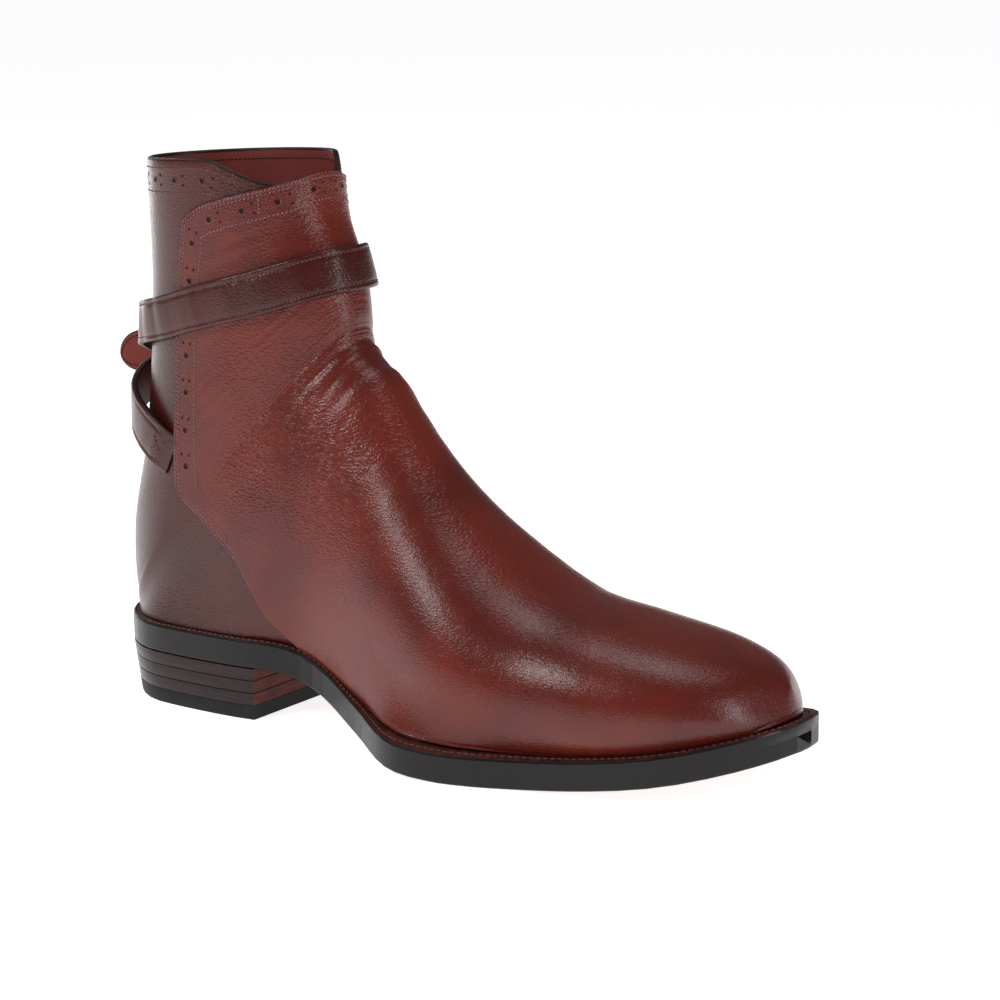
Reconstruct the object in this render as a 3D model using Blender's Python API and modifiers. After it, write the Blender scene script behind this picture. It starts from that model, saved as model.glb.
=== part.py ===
"""A jodhpur boot for the right foot, standing empty on its sole.

Metres, +Z up. +X points to the toe and +Y to the inner side of the foot. The origin lies on
the floor, under the middle of the heel. Stations are shares of the outsole's length, counted
from the back of the heel.
"""

import math
from collections import namedtuple

import bmesh
import bpy
from mathutils import Vector
from mathutils.bvhtree import BVHTree

# Sizes of the sole and the heel
OUTSOLE_LENGTH = 0.302
BALL_WIDTH = 0.104
HEEL_WIDTH = 0.068
HEEL_HEIGHT = 0.0205
HEEL_LENGTH = 0.082
HEEL_UNDERCUT = 0.004
TOP_LIFT_THICKNESS = 0.0055
LIFT_COUNT = 3
OUTSOLE_THICKNESS = 0.0060
WELT_THICKNESS = 0.0048
WELT_REACH_BACK = 0.0020
WELT_REACH_HEEL = 0.0032
WELT_REACH_BALL = 0.0080
WELT_REACH_TOE = 0.0070
INSOLE_THICKNESS = 0.0025
INSOLE_ROOM = 0.0024
TOE_SPRING = 0.0165
TOE_SWING = 0.0157
HEEL_ROUND = 0.0347
TOE_ROUND = 0.0590
TOE_BLUNTNESS = 2.35

# Sizes of the upper and its front panel
UPPER_HEIGHT = 0.1825
SHAFT_WIDTH = 0.0580
WALL_THICKNESS = 0.0024
HEM_ALLOWANCE = 0.0015
PANEL_THICKNESS = 0.0013
PANEL_LIFT = 0.0013
FLAP_TURNS = 1.75
OUTER_DIP_REACH = 0.036
INNER_DIP_REACH = 0.010

# Sizes of the straps and the buckle
STRAP_WIDTH = 0.0168
STRAP_THICKNESS = 0.0026
TIP_LENGTH = 0.0842
BUCKLE_INSIDE_LENGTH = 0.0156
BUCKLE_SIDE_ROOM = 0.0012
BUCKLE_WIRE = 0.0024
PRONG_WIRE = 0.0018
SLOT_WIDTH = 0.0032

# Clearances between pieces
GAP = 0.0003
PANEL_GAP = 0.00035

# Stations that the rims of the outsole, the welt and the insole share
SHARED_STATIONS = tuple(0.12 + 0.02 * i for i in range(35))
HEEL_REST_STATION = 0.14
SHAFT_AXIS_STATION = 0.192
BUCKLE_ANGLE = 262.0

PlanRow = namedtuple("PlanRow", "station outer inner")
FallRow = namedtuple("FallRow", "station height")
FanRow = namedtuple("FanRow", "turn foot back ridge rise outer inner widest fullness shift")
EdgeRow = namedtuple("EdgeRow", "station height")
StrapRow = namedtuple("StrapRow", "angle height standoff")

# Half widths of the outsole, as shares of HEEL_WIDTH and then of BALL_WIDTH
HEEL_PLAN = (
    PlanRow(0.00, 0.470, 0.470),
    PlanRow(0.11, 0.500, 0.500),
    PlanRow(0.25, 0.478, 0.505),
)
FORE_PLAN = (
    PlanRow(0.36, 0.260, 0.263),
    PlanRow(0.46, 0.378, 0.252),
    PlanRow(0.55, 0.523, 0.300),
    PlanRow(0.64, 0.516, 0.394),
    PlanRow(0.71, 0.460, 0.440),
    PlanRow(0.80, 0.419, 0.425),
    PlanRow(0.90, 0.394, 0.335),
    PlanRow(1.00, 0.318, 0.260),
)

# Height of the outsole's underside over the arch, as shares of HEEL_HEIGHT
ARCH_END = 0.62
ARCH_FALL = (
    FallRow(0.3235, 0.93),
    FallRow(0.380, 0.66),
    FallRow(0.460, 0.31),
    FallRow(0.540, 0.08),
    FallRow(ARCH_END, 0.00),
    FallRow(1.000, 0.00),
)

# Sections of the upper, fanned from the toe to the collar. Foot and ridge are stations, back
# and rise are shares of UPPER_HEIGHT, and shift is a share of TOE_SWING. The half widths are
# shares of BALL_WIDTH in the first table and of SHAFT_WIDTH in the second.
FOOT_FAN = (
    FanRow(0.0, 0.977, 0.0, 0.968, 0.059, 0.000, 0.000, 0.42, 2.20, 0.96),
    FanRow(2.0, 0.9685, 0.0, 0.945, 0.095, 0.130, 0.112, 0.42, 2.20, 0.92),
    FanRow(4.0, 0.947, 0.0, 0.912, 0.128, 0.246, 0.208, 0.40, 2.20, 0.83),
    FanRow(6.0, 0.897, 0.0, 0.862, 0.172, 0.338, 0.288, 0.38, 2.20, 0.67),
    FanRow(8.5, 0.815, 0.0, 0.773, 0.223, 0.400, 0.352, 0.35, 2.20, 0.45),
    FanRow(11.5, 0.709, 0.0, 0.679, 0.275, 0.412, 0.388, 0.32, 2.10, 0.25),
    FanRow(14.5, 0.599, 0.0, 0.589, 0.374, 0.430, 0.362, 0.30, 2.00, 0.13),
    FanRow(17.5, 0.483, 0.0, 0.506, 0.478, 0.348, 0.297, 0.30, 2.00, 0.0),
    FanRow(20.0, 0.361, 0.0, 0.443, 0.548, 0.272, 0.262, 0.30, 2.10, 0.0),
    FanRow(23.0, 0.215, 0.0, 0.399, 0.589, 0.280, 0.272, 0.28, 2.20, 0.0),
    FanRow(26.0, 0.099, 0.0, 0.379, 0.640, 0.276, 0.274, 0.28, 2.20, 0.0),
)
SHAFT_FAN = (
    FanRow(29.0, 0.031, 0.0, 0.377, 0.670, 0.490, 0.488, 0.29, 2.20, 0.0),
    FanRow(31.0, 0.0072, 0.0, 0.378, 0.688, 0.496, 0.490, 0.30, 2.20, 0.0),
    FanRow(34.0, -0.0035, 0.156, 0.373, 0.740, 0.500, 0.494, 0.42, 2.20, 0.0),
    FanRow(37.0, 0.0260, 0.381, 0.365, 0.795, 0.482, 0.478, 0.46, 2.20, 0.0),
    FanRow(40.0, 0.0475, 0.667, 0.340, 0.882, 0.476, 0.476, 0.48, 2.20, 0.0),
    FanRow(44.0, 0.0525, 0.998, 0.327, 1.010, 0.500, 0.500, 0.50, 2.20, 0.0),
)
HEEL_TURN = 31.0
COLLAR_TURN = 44.0
TRIM_TURN = 39.0
TURN_STEPS = ((8.4, 1.20), (26.4, 0.70), (COLLAR_TURN, 1.25))
HALF_COLUMNS = 10

# Rear edge of the front panel from the sole up, and then its top edge to the front, both seen
# from the side. Heights are shares of UPPER_HEIGHT above the heel seat.
PANEL_HEM_START = 0.328
PANEL_HEM_END = 1.06
PANEL_EDGE = (
    EdgeRow(0.296, 0.047),
    EdgeRow(0.270, 0.108),
    EdgeRow(0.242, 0.169),
    EdgeRow(0.211, 0.212),
    EdgeRow(0.178, 0.251),
    EdgeRow(0.157, 0.277),
    EdgeRow(0.147, 0.298),
    EdgeRow(0.145, 0.345),
    EdgeRow(0.147, 0.451),
    EdgeRow(0.150, 0.580),
    EdgeRow(0.156, 0.709),
    EdgeRow(0.164, 0.791),
    EdgeRow(0.172, 0.866),
    EdgeRow(0.175, 0.880),
    EdgeRow(0.182, 0.891),
    EdgeRow(0.202, 0.911),
    EdgeRow(0.234, 0.927),
    EdgeRow(0.262, 0.939),
    EdgeRow(0.298, 0.955),
    EdgeRow(0.324, 0.970),
    EdgeRow(0.336, 0.984),
    EdgeRow(0.360, 0.990),
)

# Routes of the straps around the shaft. The angle runs from the back over the outer side to
# the front, and the height is a share of UPPER_HEIGHT. The standoff from the upper is a share of
# STRAP_THICKNESS.
LONG_STRAP_ROUTE = (
    StrapRow(-52.0, 0.395, 0.23),
    StrapRow(-40.0, 0.450, 0.38),
    StrapRow(-20.0, 0.540, 0.62),
    StrapRow(0.0, 0.605, 1.15),
    StrapRow(18.0, 0.636, 1.15),
    StrapRow(45.0, 0.660, 0.92),
    StrapRow(80.0, 0.690, 0.92),
    StrapRow(110.0, 0.712, 0.92),
    StrapRow(141.0, 0.738, 1.00),
    StrapRow(160.0, 0.764, 1.15),
    StrapRow(180.0, 0.780, 1.15),
    StrapRow(200.0, 0.769, 1.00),
    StrapRow(219.0, 0.746, 0.92),
    StrapRow(242.0, 0.720, 0.92),
    StrapRow(266.0, 0.693, 1.77),
    StrapRow(278.0, 0.680, 2.23),
    StrapRow(290.0, 0.662, 2.38),
)
BUCKLE_STRAP_ROUTE = (
    StrapRow(57.0, 0.380, 0.23),
    StrapRow(40.0, 0.412, 0.80),
    StrapRow(18.0, 0.456, 1.75),
    StrapRow(0.0, 0.494, 2.23),
    StrapRow(-18.0, 0.532, 2.20),
    StrapRow(-40.0, 0.580, 1.88),
    StrapRow(-60.0, 0.618, 1.31),
    StrapRow(-74.0, 0.645, 0.92),
)
STRAP_STEP = 6.0
TIP_DROP = 0.33
TIP_CURL = 30.0

UPPER_LEATHER = ("upper_leather", (0.20, 0.035, 0.018), 0.30, 0.0)
PANEL_LEATHER = ("panel_leather", (0.24, 0.045, 0.020), 0.28, 0.0)
STRAP_LEATHER = ("strap_leather", (0.15, 0.028, 0.018), 0.34, 0.0)
SOLE_LEATHER = ("sole_leather", (0.020, 0.014, 0.014), 0.36, 0.0)
WELT_LEATHER = ("welt_leather", (0.070, 0.018, 0.014), 0.45, 0.0)
LIFT_LEATHER = ("lift_leather", (0.030, 0.012, 0.010), 0.38, 0.0)
TOP_RUBBER = ("top_lift_rubber", (0.012, 0.012, 0.012), 0.62, 0.0)
INSOLE_LEATHER = ("insole_leather", (0.32, 0.15, 0.09), 0.65, 0.0)
BRASS = ("buckle_brass", (0.62, 0.42, 0.17), 0.28, 1.0)


def clear_scene():
    """Remove every object that the scene starts with."""
    for item in list(bpy.data.objects):
        bpy.data.objects.remove(item, do_unlink=True)


def make_collection(name):
    """Add a collection to the scene."""
    collection = bpy.data.collections.new(name)
    bpy.context.scene.collection.children.link(collection)
    return collection


def finish_material(finish):
    """Make the Principled material that a finish describes."""
    name, colour, roughness, metallic = finish
    material = bpy.data.materials.new(name)
    material.use_nodes = True
    shader = material.node_tree.nodes["Principled BSDF"]
    shader.inputs["Base Color"].default_value = (*colour, 1.0)
    shader.inputs["Roughness"].default_value = roughness
    shader.inputs["Metallic"].default_value = metallic
    material.diffuse_color = (*colour, 1.0)
    return material


def curve_through(places, values, place, mirror=0):
    """Smooth curve through a table's values; mirror is 1 (even) or -1 (odd) before its start."""
    if mirror:
        before = [2.0 * places[0] - p for p in places[2:0:-1]]
        places = before + list(places)
        values = [mirror * v for v in values[2:0:-1]] + list(values)
    last = len(places) - 1
    place = min(max(place, places[0]), places[-1])
    k = 0
    while k < last - 1 and place > places[k + 1]:
        k += 1

    def slope(i):
        if i == 0 or i == last:
            j = min(i, last - 1)
            return (values[j + 1] - values[j]) / (places[j + 1] - places[j])
        low = places[i] - places[i - 1]
        high = places[i + 1] - places[i]
        before_slope = (values[i] - values[i - 1]) / low
        after_slope = (values[i + 1] - values[i]) / high
        return (before_slope * high + after_slope * low) / (low + high)

    span = places[k + 1] - places[k]
    u = (place - places[k]) / span
    rise = (3.0 - 2.0 * u) * u * u
    start = (1.0 - u) ** 2 * u * span * slope(k)
    end = (1.0 - u) * u * u * span * slope(k + 1)
    return values[k] * (1.0 - rise) + values[k + 1] * rise + start - end


def clamp(value, low=0.0, high=1.0):
    """Keep a value between two limits."""
    return min(max(value, low), high)


def smooth_step(value):
    """Ease from 0 to 1."""
    value = clamp(value)
    return value * value * (3.0 - 2.0 * value)


def world_x(station):
    """X of a station."""
    return (station - HEEL_REST_STATION) * OUTSOLE_LENGTH


def half_width(station, side):
    """Half width of the outsole on the outer (-1) or inner (+1) side, with its round ends."""
    column = 1 if side < 0 else 2
    stations = [row.station for row in HEEL_PLAN + FORE_PLAN]
    widths = [row[column] * HEEL_WIDTH for row in HEEL_PLAN]
    widths += [row[column] * BALL_WIDTH for row in FORE_PLAN]
    width = curve_through(stations, widths, station)
    heel_round = HEEL_ROUND / OUTSOLE_LENGTH
    toe_round = TOE_ROUND / OUTSOLE_LENGTH
    if station < heel_round:
        width *= math.sqrt(max(0.0, 1.0 - (1.0 - station / heel_round) ** 2))
    if station > 1.0 - toe_round:
        depth = (station - 1.0 + toe_round) / toe_round
        width *= max(0.0, 1.0 - depth ** TOE_BLUNTNESS) ** (1.0 / TOE_BLUNTNESS)
    return width


def centre_line(station):
    """Y of the sole's middle line, which swings to the inner side at the toe."""
    return TOE_SWING * clamp((station - 0.35) / 0.65) ** 1.6


def sole_under(station):
    """Height of the outsole's underside."""
    flat_end = HEEL_LENGTH / OUTSOLE_LENGTH + 0.012
    spring = TOE_SPRING * clamp((station - 0.68) / 0.32) ** 1.8
    if station <= flat_end:
        return HEEL_HEIGHT
    if station >= ARCH_END:
        return spring
    stations = [0.0, flat_end] + [row.station for row in ARCH_FALL]
    heights = [1.0, 1.0] + [row.height for row in ARCH_FALL]
    return HEEL_HEIGHT * clamp(curve_through(stations, heights, station)) + spring


def welt_top(station):
    """Height of the welt's upper face."""
    return sole_under(station) + OUTSOLE_THICKNESS + GAP + WELT_THICKNESS


def heel_seat():
    """Height of the welt's upper face over the heel."""
    return welt_top(0.0)


def welt_reach(share):
    """How far the welt stands out beyond the upper at a share of the upper's length."""
    forward = smooth_step((share - 0.30) / 0.25)
    return WELT_REACH_HEEL + (WELT_REACH_BALL - WELT_REACH_HEEL) * forward


def feather_share(station):
    """Share of the upper's own length at a station."""
    back = WELT_REACH_BACK / OUTSOLE_LENGTH
    front = WELT_REACH_TOE / OUTSOLE_LENGTH
    return clamp((station - back) / (1.0 - back - front))


def feather_half(station, side):
    """Half width of the line where the upper meets the welt."""
    share = feather_share(station)
    middle = half_width(clamp(share, 0.12, 0.80), side)
    return half_width(share, side) * (middle - welt_reach(share)) / middle


def fan_value(column, turn, mirror):
    """Read one column of the two fan tables, in metres for widths."""
    turns = [row.turn for row in FOOT_FAN + SHAFT_FAN]
    values = []
    for table, width in ((FOOT_FAN, BALL_WIDTH), (SHAFT_FAN, SHAFT_WIDTH)):
        scale = width if column in ("outer", "inner") else 1.0
        values += [getattr(row, column) * scale for row in table]
    return curve_through(turns, values, turn, mirror)


def fan_section(turn):
    """Collect one section of the upper: its foot, its ridge and its widths."""
    foot = fan_value("foot", turn, 1)
    closed = turn >= HEEL_TURN
    seat = heel_seat() if closed else welt_top(foot)
    back = seat + GAP - HEM_ALLOWANCE
    if closed:
        back += UPPER_HEIGHT * max(0.0, fan_value("back", turn, 0))
    ridge = (fan_value("ridge", turn, 1), seat + UPPER_HEIGHT * fan_value("rise", turn, 1))
    widths = [max(0.0, fan_value(name, turn, -1)) for name in ("outer", "inner")]
    feet = [0.0, 0.0]
    if not closed:
        feet = [min(feather_half(foot, side), 1.2 * width) for side, width in zip((-1, 1), widths)]
    return {
        "foot": (foot, back),
        "ridge": ridge,
        "widths": widths,
        "feet": feet,
        "widest": fan_value("widest", turn, 1),
        "fullness": fan_value("fullness", turn, 1),
        "centres": (centre_line(foot), TOE_SWING * fan_value("shift", turn, 1)),
    }


def section_point(section, around):
    """Point of a section; around is -1 at the outer foot, 0 on the ridge and 1 at the inner."""
    side = 0 if around < 0.0 else 1
    climb = 1.0 - abs(around)
    width = section["widths"][side]
    foot = section["feet"][side]
    widest = section["widest"]
    if climb < 0.5:
        upright = clamp(foot / max(width, 1e-6) / 0.75)
        part = climb / 0.5
        share = (1.0 - math.cos(part * math.pi / 2.0)) * (1.0 - upright) + part * upright
        bulge = (1.0 - (1.0 - share) ** 2) ** (1.0 / (2.0 - upright))
        offset = foot + (width - foot) * bulge
        share *= widest
    else:
        angle = (climb - 0.5) * math.pi
        power = 2.0 / section["fullness"]
        share = widest + (1.0 - widest) * math.sin(angle) ** power
        offset = width * max(0.0, math.cos(angle)) ** power
    foot_x, foot_z = section["foot"]
    ridge_x, ridge_z = section["ridge"]
    centre = section["centres"][0] * (1.0 - share) + section["centres"][1] * share
    return Vector((
        world_x(foot_x + (ridge_x - foot_x) * share),
        centre + (offset if side else -offset),
        foot_z + (ridge_z - foot_z) * share,
    ))


def collar_turn(around):
    """Turn of the quarters' top edge, which dips at the front where the panel covers it."""
    point = section_point(fan_section(COLLAR_TURN), around)
    front = world_x(SHAFT_FAN[-1].ridge)
    reach = OUTER_DIP_REACH if around < 0.0 else INNER_DIP_REACH
    return COLLAR_TURN - FLAP_TURNS * smooth_step((point.x - front + reach) / reach)


def grid_mesh(rows):
    """Make an open sheet from rows of points, merging the points that meet."""
    mesh = bmesh.new()
    grid = [[mesh.verts.new(point) for point in row] for row in rows]
    for near, far in zip(grid, grid[1:]):
        for i in range(len(near) - 1):
            mesh.faces.new((near[i], near[i + 1], far[i + 1], far[i]))
    bmesh.ops.remove_doubles(mesh, verts=mesh.verts, dist=1e-5)
    bmesh.ops.dissolve_degenerate(mesh, edges=mesh.edges, dist=1e-6)
    bmesh.ops.recalc_face_normals(mesh, faces=mesh.faces)
    mesh.normal_update()
    return mesh


def face_outwards(mesh, inside):
    """Turn a sheet's faces away from a point that it surrounds."""
    outward = sum((face.calc_center_median() - inside).dot(face.normal) for face in mesh.faces)
    if outward < 0.0:
        bmesh.ops.reverse_faces(mesh, faces=mesh.faces)
        mesh.normal_update()


def fan_turns():
    """Turns of the rows of the upper's sheet, closer together where the foot line runs fast."""
    turns = [0.0]
    for end, step in TURN_STEPS:
        start = turns[-1]
        count = round((end - start) / step)
        turns += [start + (end - start) * (i + 1) / count for i in range(count)]
    return turns


def upper_sheet(trimmed):
    """Make the upper's outer face as an open sheet."""
    arounds = [i / HALF_COLUMNS - 1.0 for i in range(2 * HALF_COLUMNS + 1)]
    tops = [collar_turn(around) if trimmed else COLLAR_TURN for around in arounds]
    rows = []
    for turn in fan_turns():
        share = clamp((turn - TRIM_TURN) / (COLLAR_TURN - TRIM_TURN))
        row = []
        for around, top in zip(arounds, tops):
            own_turn = turn - (COLLAR_TURN - top) * share
            row.append(section_point(fan_section(own_turn), around))
        rows.append(row)
    mesh = grid_mesh(rows)
    face_outwards(mesh, inside_point())
    return mesh


def inside_point():
    """A point in the middle of the boot's hollow."""
    return Vector((world_x(SHAFT_AXIS_STATION), 0.0, heel_seat() + 0.3 * UPPER_HEIGHT))


def panel_sheet():
    """Make the front panel's inner face, just off the upper's, before it is cut to outline."""
    mesh = upper_sheet(trimmed=False)
    for vert in mesh.verts:
        vert.co += vert.normal * PANEL_GAP
    return mesh


def panel_outline():
    """Outline of the front panel seen from the side, as X and height."""
    hem_length = PANEL_HEM_END - PANEL_HEM_START
    outline = []
    for i in range(37):
        station = PANEL_HEM_START + hem_length * i / 36.0
        outline.append((world_x(station), welt_top(min(station, 1.0)) + GAP + PANEL_LIFT))
    outline.append((outline[-1][0], heel_seat() + UPPER_HEIGHT * PANEL_EDGE[-1].height))
    places = list(range(len(PANEL_EDGE)))
    stations = [row.station for row in PANEL_EDGE]
    heights = [row.height for row in PANEL_EDGE]
    for i in range(2 * places[-1], -1, -1):
        station = curve_through(places, stations, i / 2.0)
        height = heel_seat() + UPPER_HEIGHT * curve_through(places, heights, i / 2.0)
        outline.append((world_x(station), height))
    return outline


def prism(outline, reach):
    """Closed body with an outline seen from the side, reaching as far to both sides."""
    mesh = bmesh.new()
    loops = [[mesh.verts.new((x, y, z)) for x, z in outline] for y in (-reach, reach)]
    for i in range(len(outline)):
        j = (i + 1) % len(outline)
        mesh.faces.new((loops[0][i], loops[0][j], loops[1][j], loops[1][i]))
    mesh.faces.new(loops[0])
    mesh.faces.new(loops[1])
    bmesh.ops.recalc_face_normals(mesh, faces=mesh.faces)
    return mesh


def add_object(name, mesh, finish, collection):
    """Turn a bmesh into a named, smooth shaded object with its own material."""
    data = bpy.data.meshes.new(name)
    mesh.to_mesh(data)
    mesh.free()
    data.shade_smooth()
    data.set_sharp_from_angle(angle=math.radians(40.0))
    item = bpy.data.objects.new(name, data)
    item.data.materials.append(finish_material(finish))
    collection.objects.link(item)
    return item


def add_thickness(item, thickness, offset):
    """Give a sheet its wall: offset -1 grows it inwards, 1 outwards."""
    solidify = item.modifiers.new("wall", "SOLIDIFY")
    solidify.thickness = thickness
    solidify.offset = offset
    solidify.use_even_offset = True
    solidify.use_quality_normals = True


def add_cutter(name, mesh, cutters):
    """Keep a cutting body out of the renders."""
    cutter = add_object(name, mesh, UPPER_LEATHER, cutters)
    cutter.hide_render = True
    cutter.display_type = "WIRE"
    return cutter


def add_cut(item, operation, cutter):
    """Cut a piece with another body."""
    cut = item.modifiers.new(cutter.name, "BOOLEAN")
    cut.operation = operation
    cut.solver = "EXACT"
    cut.object = cutter


def rim_stations(back, front):
    """Stations of a rim: closer together at its round ends, the same for all rims between."""
    quarter = math.pi / 2.0
    first = SHARED_STATIONS[0]
    last = SHARED_STATIONS[-1]
    rear = [back + (first - back) * (1.0 - math.cos(quarter * i / 7.0)) for i in range(7)]
    fore = [last + (front - last) * math.sin(quarter * (i + 1) / 9.0) for i in range(9)]
    return rear + list(SHARED_STATIONS) + fore


def outsole_rim():
    """Rim of the outsole as rows of station, outer Y and inner Y."""
    rim = []
    for station in rim_stations(0.0, 1.0):
        middle = centre_line(station)
        rim.append((station, middle - half_width(station, -1), middle + half_width(station, 1)))
    return rim


def feather_rim(inset):
    """Rim of the line where the upper stands on the welt, moved inwards."""
    back = (WELT_REACH_BACK + inset) / OUTSOLE_LENGTH
    front = 1.0 - (WELT_REACH_TOE + inset) / OUTSOLE_LENGTH
    rim = []
    for station in rim_stations(back, front):
        share = (station - back) / (front - back)
        middle = centre_line(station)
        halves = []
        for side in (-1, 1):
            centre_share = clamp(share, 0.12, 0.80)
            full = half_width(centre_share, side)
            halves.append(half_width(share, side) * (full - welt_reach(share) - inset) / full)
        rim.append((station, middle - halves[0], middle + halves[1]))
    return rim


def slab(rim, low, thickness):
    """Make a plate with the outline of a rim, its underside following low."""
    rows = []
    for station, outer, inner in rim:
        x = world_x(station)
        z = low(station)
        rows.append([Vector((x, outer, z)), Vector((x, inner, z))])
    return raise_sheet(grid_mesh(rows), thickness)


def raise_sheet(mesh, thickness):
    """Extrude a sheet straight up into a closed plate."""
    faces = bmesh.ops.extrude_face_region(mesh, geom=mesh.faces[:])["geom"]
    raised = [part for part in faces if isinstance(part, bmesh.types.BMVert)]
    bmesh.ops.translate(mesh, verts=raised, vec=(0.0, 0.0, thickness))
    bmesh.ops.recalc_face_normals(mesh, faces=mesh.faces)
    return mesh


def rim_loop(rim, low):
    """Closed loop of points around a rim, outer side first."""
    outer = [Vector((world_x(station), y, low(station))) for station, y, _ in rim]
    inner = [Vector((world_x(station), y, low(station))) for station, _, y in rim]
    return outer + inner[-2:0:-1]


def build_outsole(collection):
    """One leather sole from heel to toe."""
    mesh = slab(outsole_rim(), sole_under, OUTSOLE_THICKNESS)
    add_object("outsole", mesh, SOLE_LEATHER, collection)


def build_welt(collection):
    """Welt with the filling inside it, as one plate that the upper and the insole rest on."""
    def low(station):
        return sole_under(station) + OUTSOLE_THICKNESS + GAP

    add_object("welt", slab(outsole_rim(), low, WELT_THICKNESS), WELT_LEATHER, collection)


def build_insole(collection):
    """Insole inside the upper's wall."""
    def low(station):
        return welt_top(station) + GAP

    mesh = slab(feather_rim(WALL_THICKNESS + INSOLE_ROOM), low, INSOLE_THICKNESS)
    add_object("insole", mesh, INSOLE_LEATHER, collection)


def heel_rim(height, count=14):
    """Rim of the heel block at a height: it leans in towards the floor at the back."""
    lean = HEEL_UNDERCUT * (1.0 - height / HEEL_HEIGHT)
    breast = HEEL_LENGTH / OUTSOLE_LENGTH
    rim = []
    for i in range(count + 1):
        station = breast * (1.0 - math.cos(math.pi / 2.0 * i / count))
        shifted = station + lean / OUTSOLE_LENGTH * (1.0 - station / breast)
        rim.append((shifted, -half_width(station, -1), half_width(station, 1)))
    return rim


def heel_layer(bottom, top):
    """Closed layer of the heel between two heights."""
    mesh = bmesh.new()
    loops = []
    for height in (bottom, top):
        outline = rim_loop(heel_rim(height), lambda station: height)
        rim = heel_rim(height)
        outline.append(Vector((world_x(rim[-1][0]), rim[-1][2], height)))
        ordered = outline[:len(rim)] + [outline[-1]] + outline[len(rim):-1]
        loops.append([mesh.verts.new(point) for point in ordered])
    count = len(loops[0])
    for i in range(count):
        j = (i + 1) % count
        mesh.faces.new((loops[0][i], loops[0][j], loops[1][j], loops[1][i]))
    mesh.faces.new(loops[0])
    mesh.faces.new(loops[1])
    bmesh.ops.recalc_face_normals(mesh, faces=mesh.faces)
    return mesh


def build_heel(collection):
    """Rubber top lift on the floor and the stacked leather lifts above it."""
    add_object("top_lift", heel_layer(0.0, TOP_LIFT_THICKNESS), TOP_RUBBER, collection)
    pitch = (HEEL_HEIGHT - TOP_LIFT_THICKNESS) / LIFT_COUNT
    for i in range(LIFT_COUNT):
        bottom = TOP_LIFT_THICKNESS + i * pitch
        mesh = heel_layer(bottom + GAP / 2.0, bottom + pitch - GAP / 2.0)
        add_object("heel_lift_%d" % (i + 1), mesh, LIFT_LEATHER, collection)


def hem_outline():
    """Outline, seen from the side, of what lies below the upper's hem."""
    outline = []
    for i in range(56):
        station = 1.10 - 1.20 * i / 55.0
        outline.append((world_x(station), welt_top(clamp(station)) + GAP))
    return outline + [(outline[-1][0], -HEEL_HEIGHT), (outline[0][0], -HEEL_HEIGHT)]


def build_upper(collection, cutters):
    """Hollow upper with its lining, open at the collar and underneath."""
    item = add_object("upper", upper_sheet(trimmed=True), UPPER_LEATHER, collection)
    add_thickness(item, WALL_THICKNESS, -1.0)
    add_cut(item, "DIFFERENCE", add_cutter("hem_cutter", prism(hem_outline(), BALL_WIDTH), cutters))


def build_front_panel(collection, cutters):
    """Vamp and shaft front in one piece, laid over the upper and cut to its outline."""
    item = add_object("front_panel", panel_sheet(), PANEL_LEATHER, collection)
    add_thickness(item, PANEL_THICKNESS, 1.0)
    cutter = add_cutter("panel_cutter", prism(panel_outline(), BALL_WIDTH), cutters)
    add_cut(item, "INTERSECT", cutter)


def shaft_tree():
    """Search tree of the upper's outer face, for pieces that wrap around it."""
    mesh = upper_sheet(trimmed=False)
    tree = BVHTree.FromBMesh(mesh)
    mesh.free()
    return tree


def wrap_point(tree, angle, height):
    """Point of the upper's outer face at an angle around the shaft and a height."""
    start = Vector((world_x(SHAFT_AXIS_STATION), 0.0, height))
    turn = math.radians(angle)
    return tree.ray_cast(start, Vector((-math.cos(turn), -math.sin(turn), 0.0)))[0]


def strap_path(tree, route):
    """Middle points of a strap's inner face, with the direction across it at each."""
    angles = [row.angle for row in route]
    order = 1.0 if angles[-1] > angles[0] else -1.0
    keys = [order * angle for angle in angles]
    heights = [row.height for row in route]
    standoffs = [row.standoff for row in route]
    count = round((keys[-1] - keys[0]) / STRAP_STEP)
    places = [keys[0] + (keys[-1] - keys[0]) * i / count for i in range(count + 1)]
    heights = [heel_seat() + UPPER_HEIGHT * curve_through(keys, heights, key) for key in places]
    standoffs = [STRAP_THICKNESS * curve_through(keys, standoffs, key) for key in places]
    points = [wrap_point(tree, order * key, height) for key, height in zip(places, heights)]
    path = [(point, across_direction(tree, points, i)) for i, point in enumerate(points)]
    for _ in range(3):
        path = lift_path(tree, smooth_path(path), standoffs)
    return path


def across_direction(tree, points, i):
    """Direction across a strap, lying along the upper's face."""
    forward = points[min(i + 1, len(points) - 1)] - points[max(i - 1, 0)]
    normal = tree.find_nearest(points[i])[1]
    across = normal.cross(forward).normalized()
    return across if across.z > 0.0 else -across


def lift_path(tree, path, standoffs):
    """Move a strap's points outwards until its whole width is clear of the upper."""
    lifted = []
    for (point, across), standoff in zip(path, standoffs):
        short = -1.0
        for share in (-0.5, -0.25, 0.0, 0.25, 0.5):
            spot = point + across * (STRAP_WIDTH * share)
            near, normal, _, _ = tree.find_nearest(spot)
            short = max(short, standoff - (spot - near).dot(normal))
        outward = tree.find_nearest(point)[1]
        lifted.append((point + outward * short, across))
    return lifted


def smooth_path(path):
    """Even out small bumps, as a pulled strap does."""
    eased = [path[0]]
    for before, here, after in zip(path, path[1:], path[2:]):
        middle = (before[0] + here[0] * 2.0 + after[0]) / 4.0
        eased.append((middle, (before[1] + here[1] * 2.0 + after[1]).normalized()))
    return eased + [path[-1]]


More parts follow.
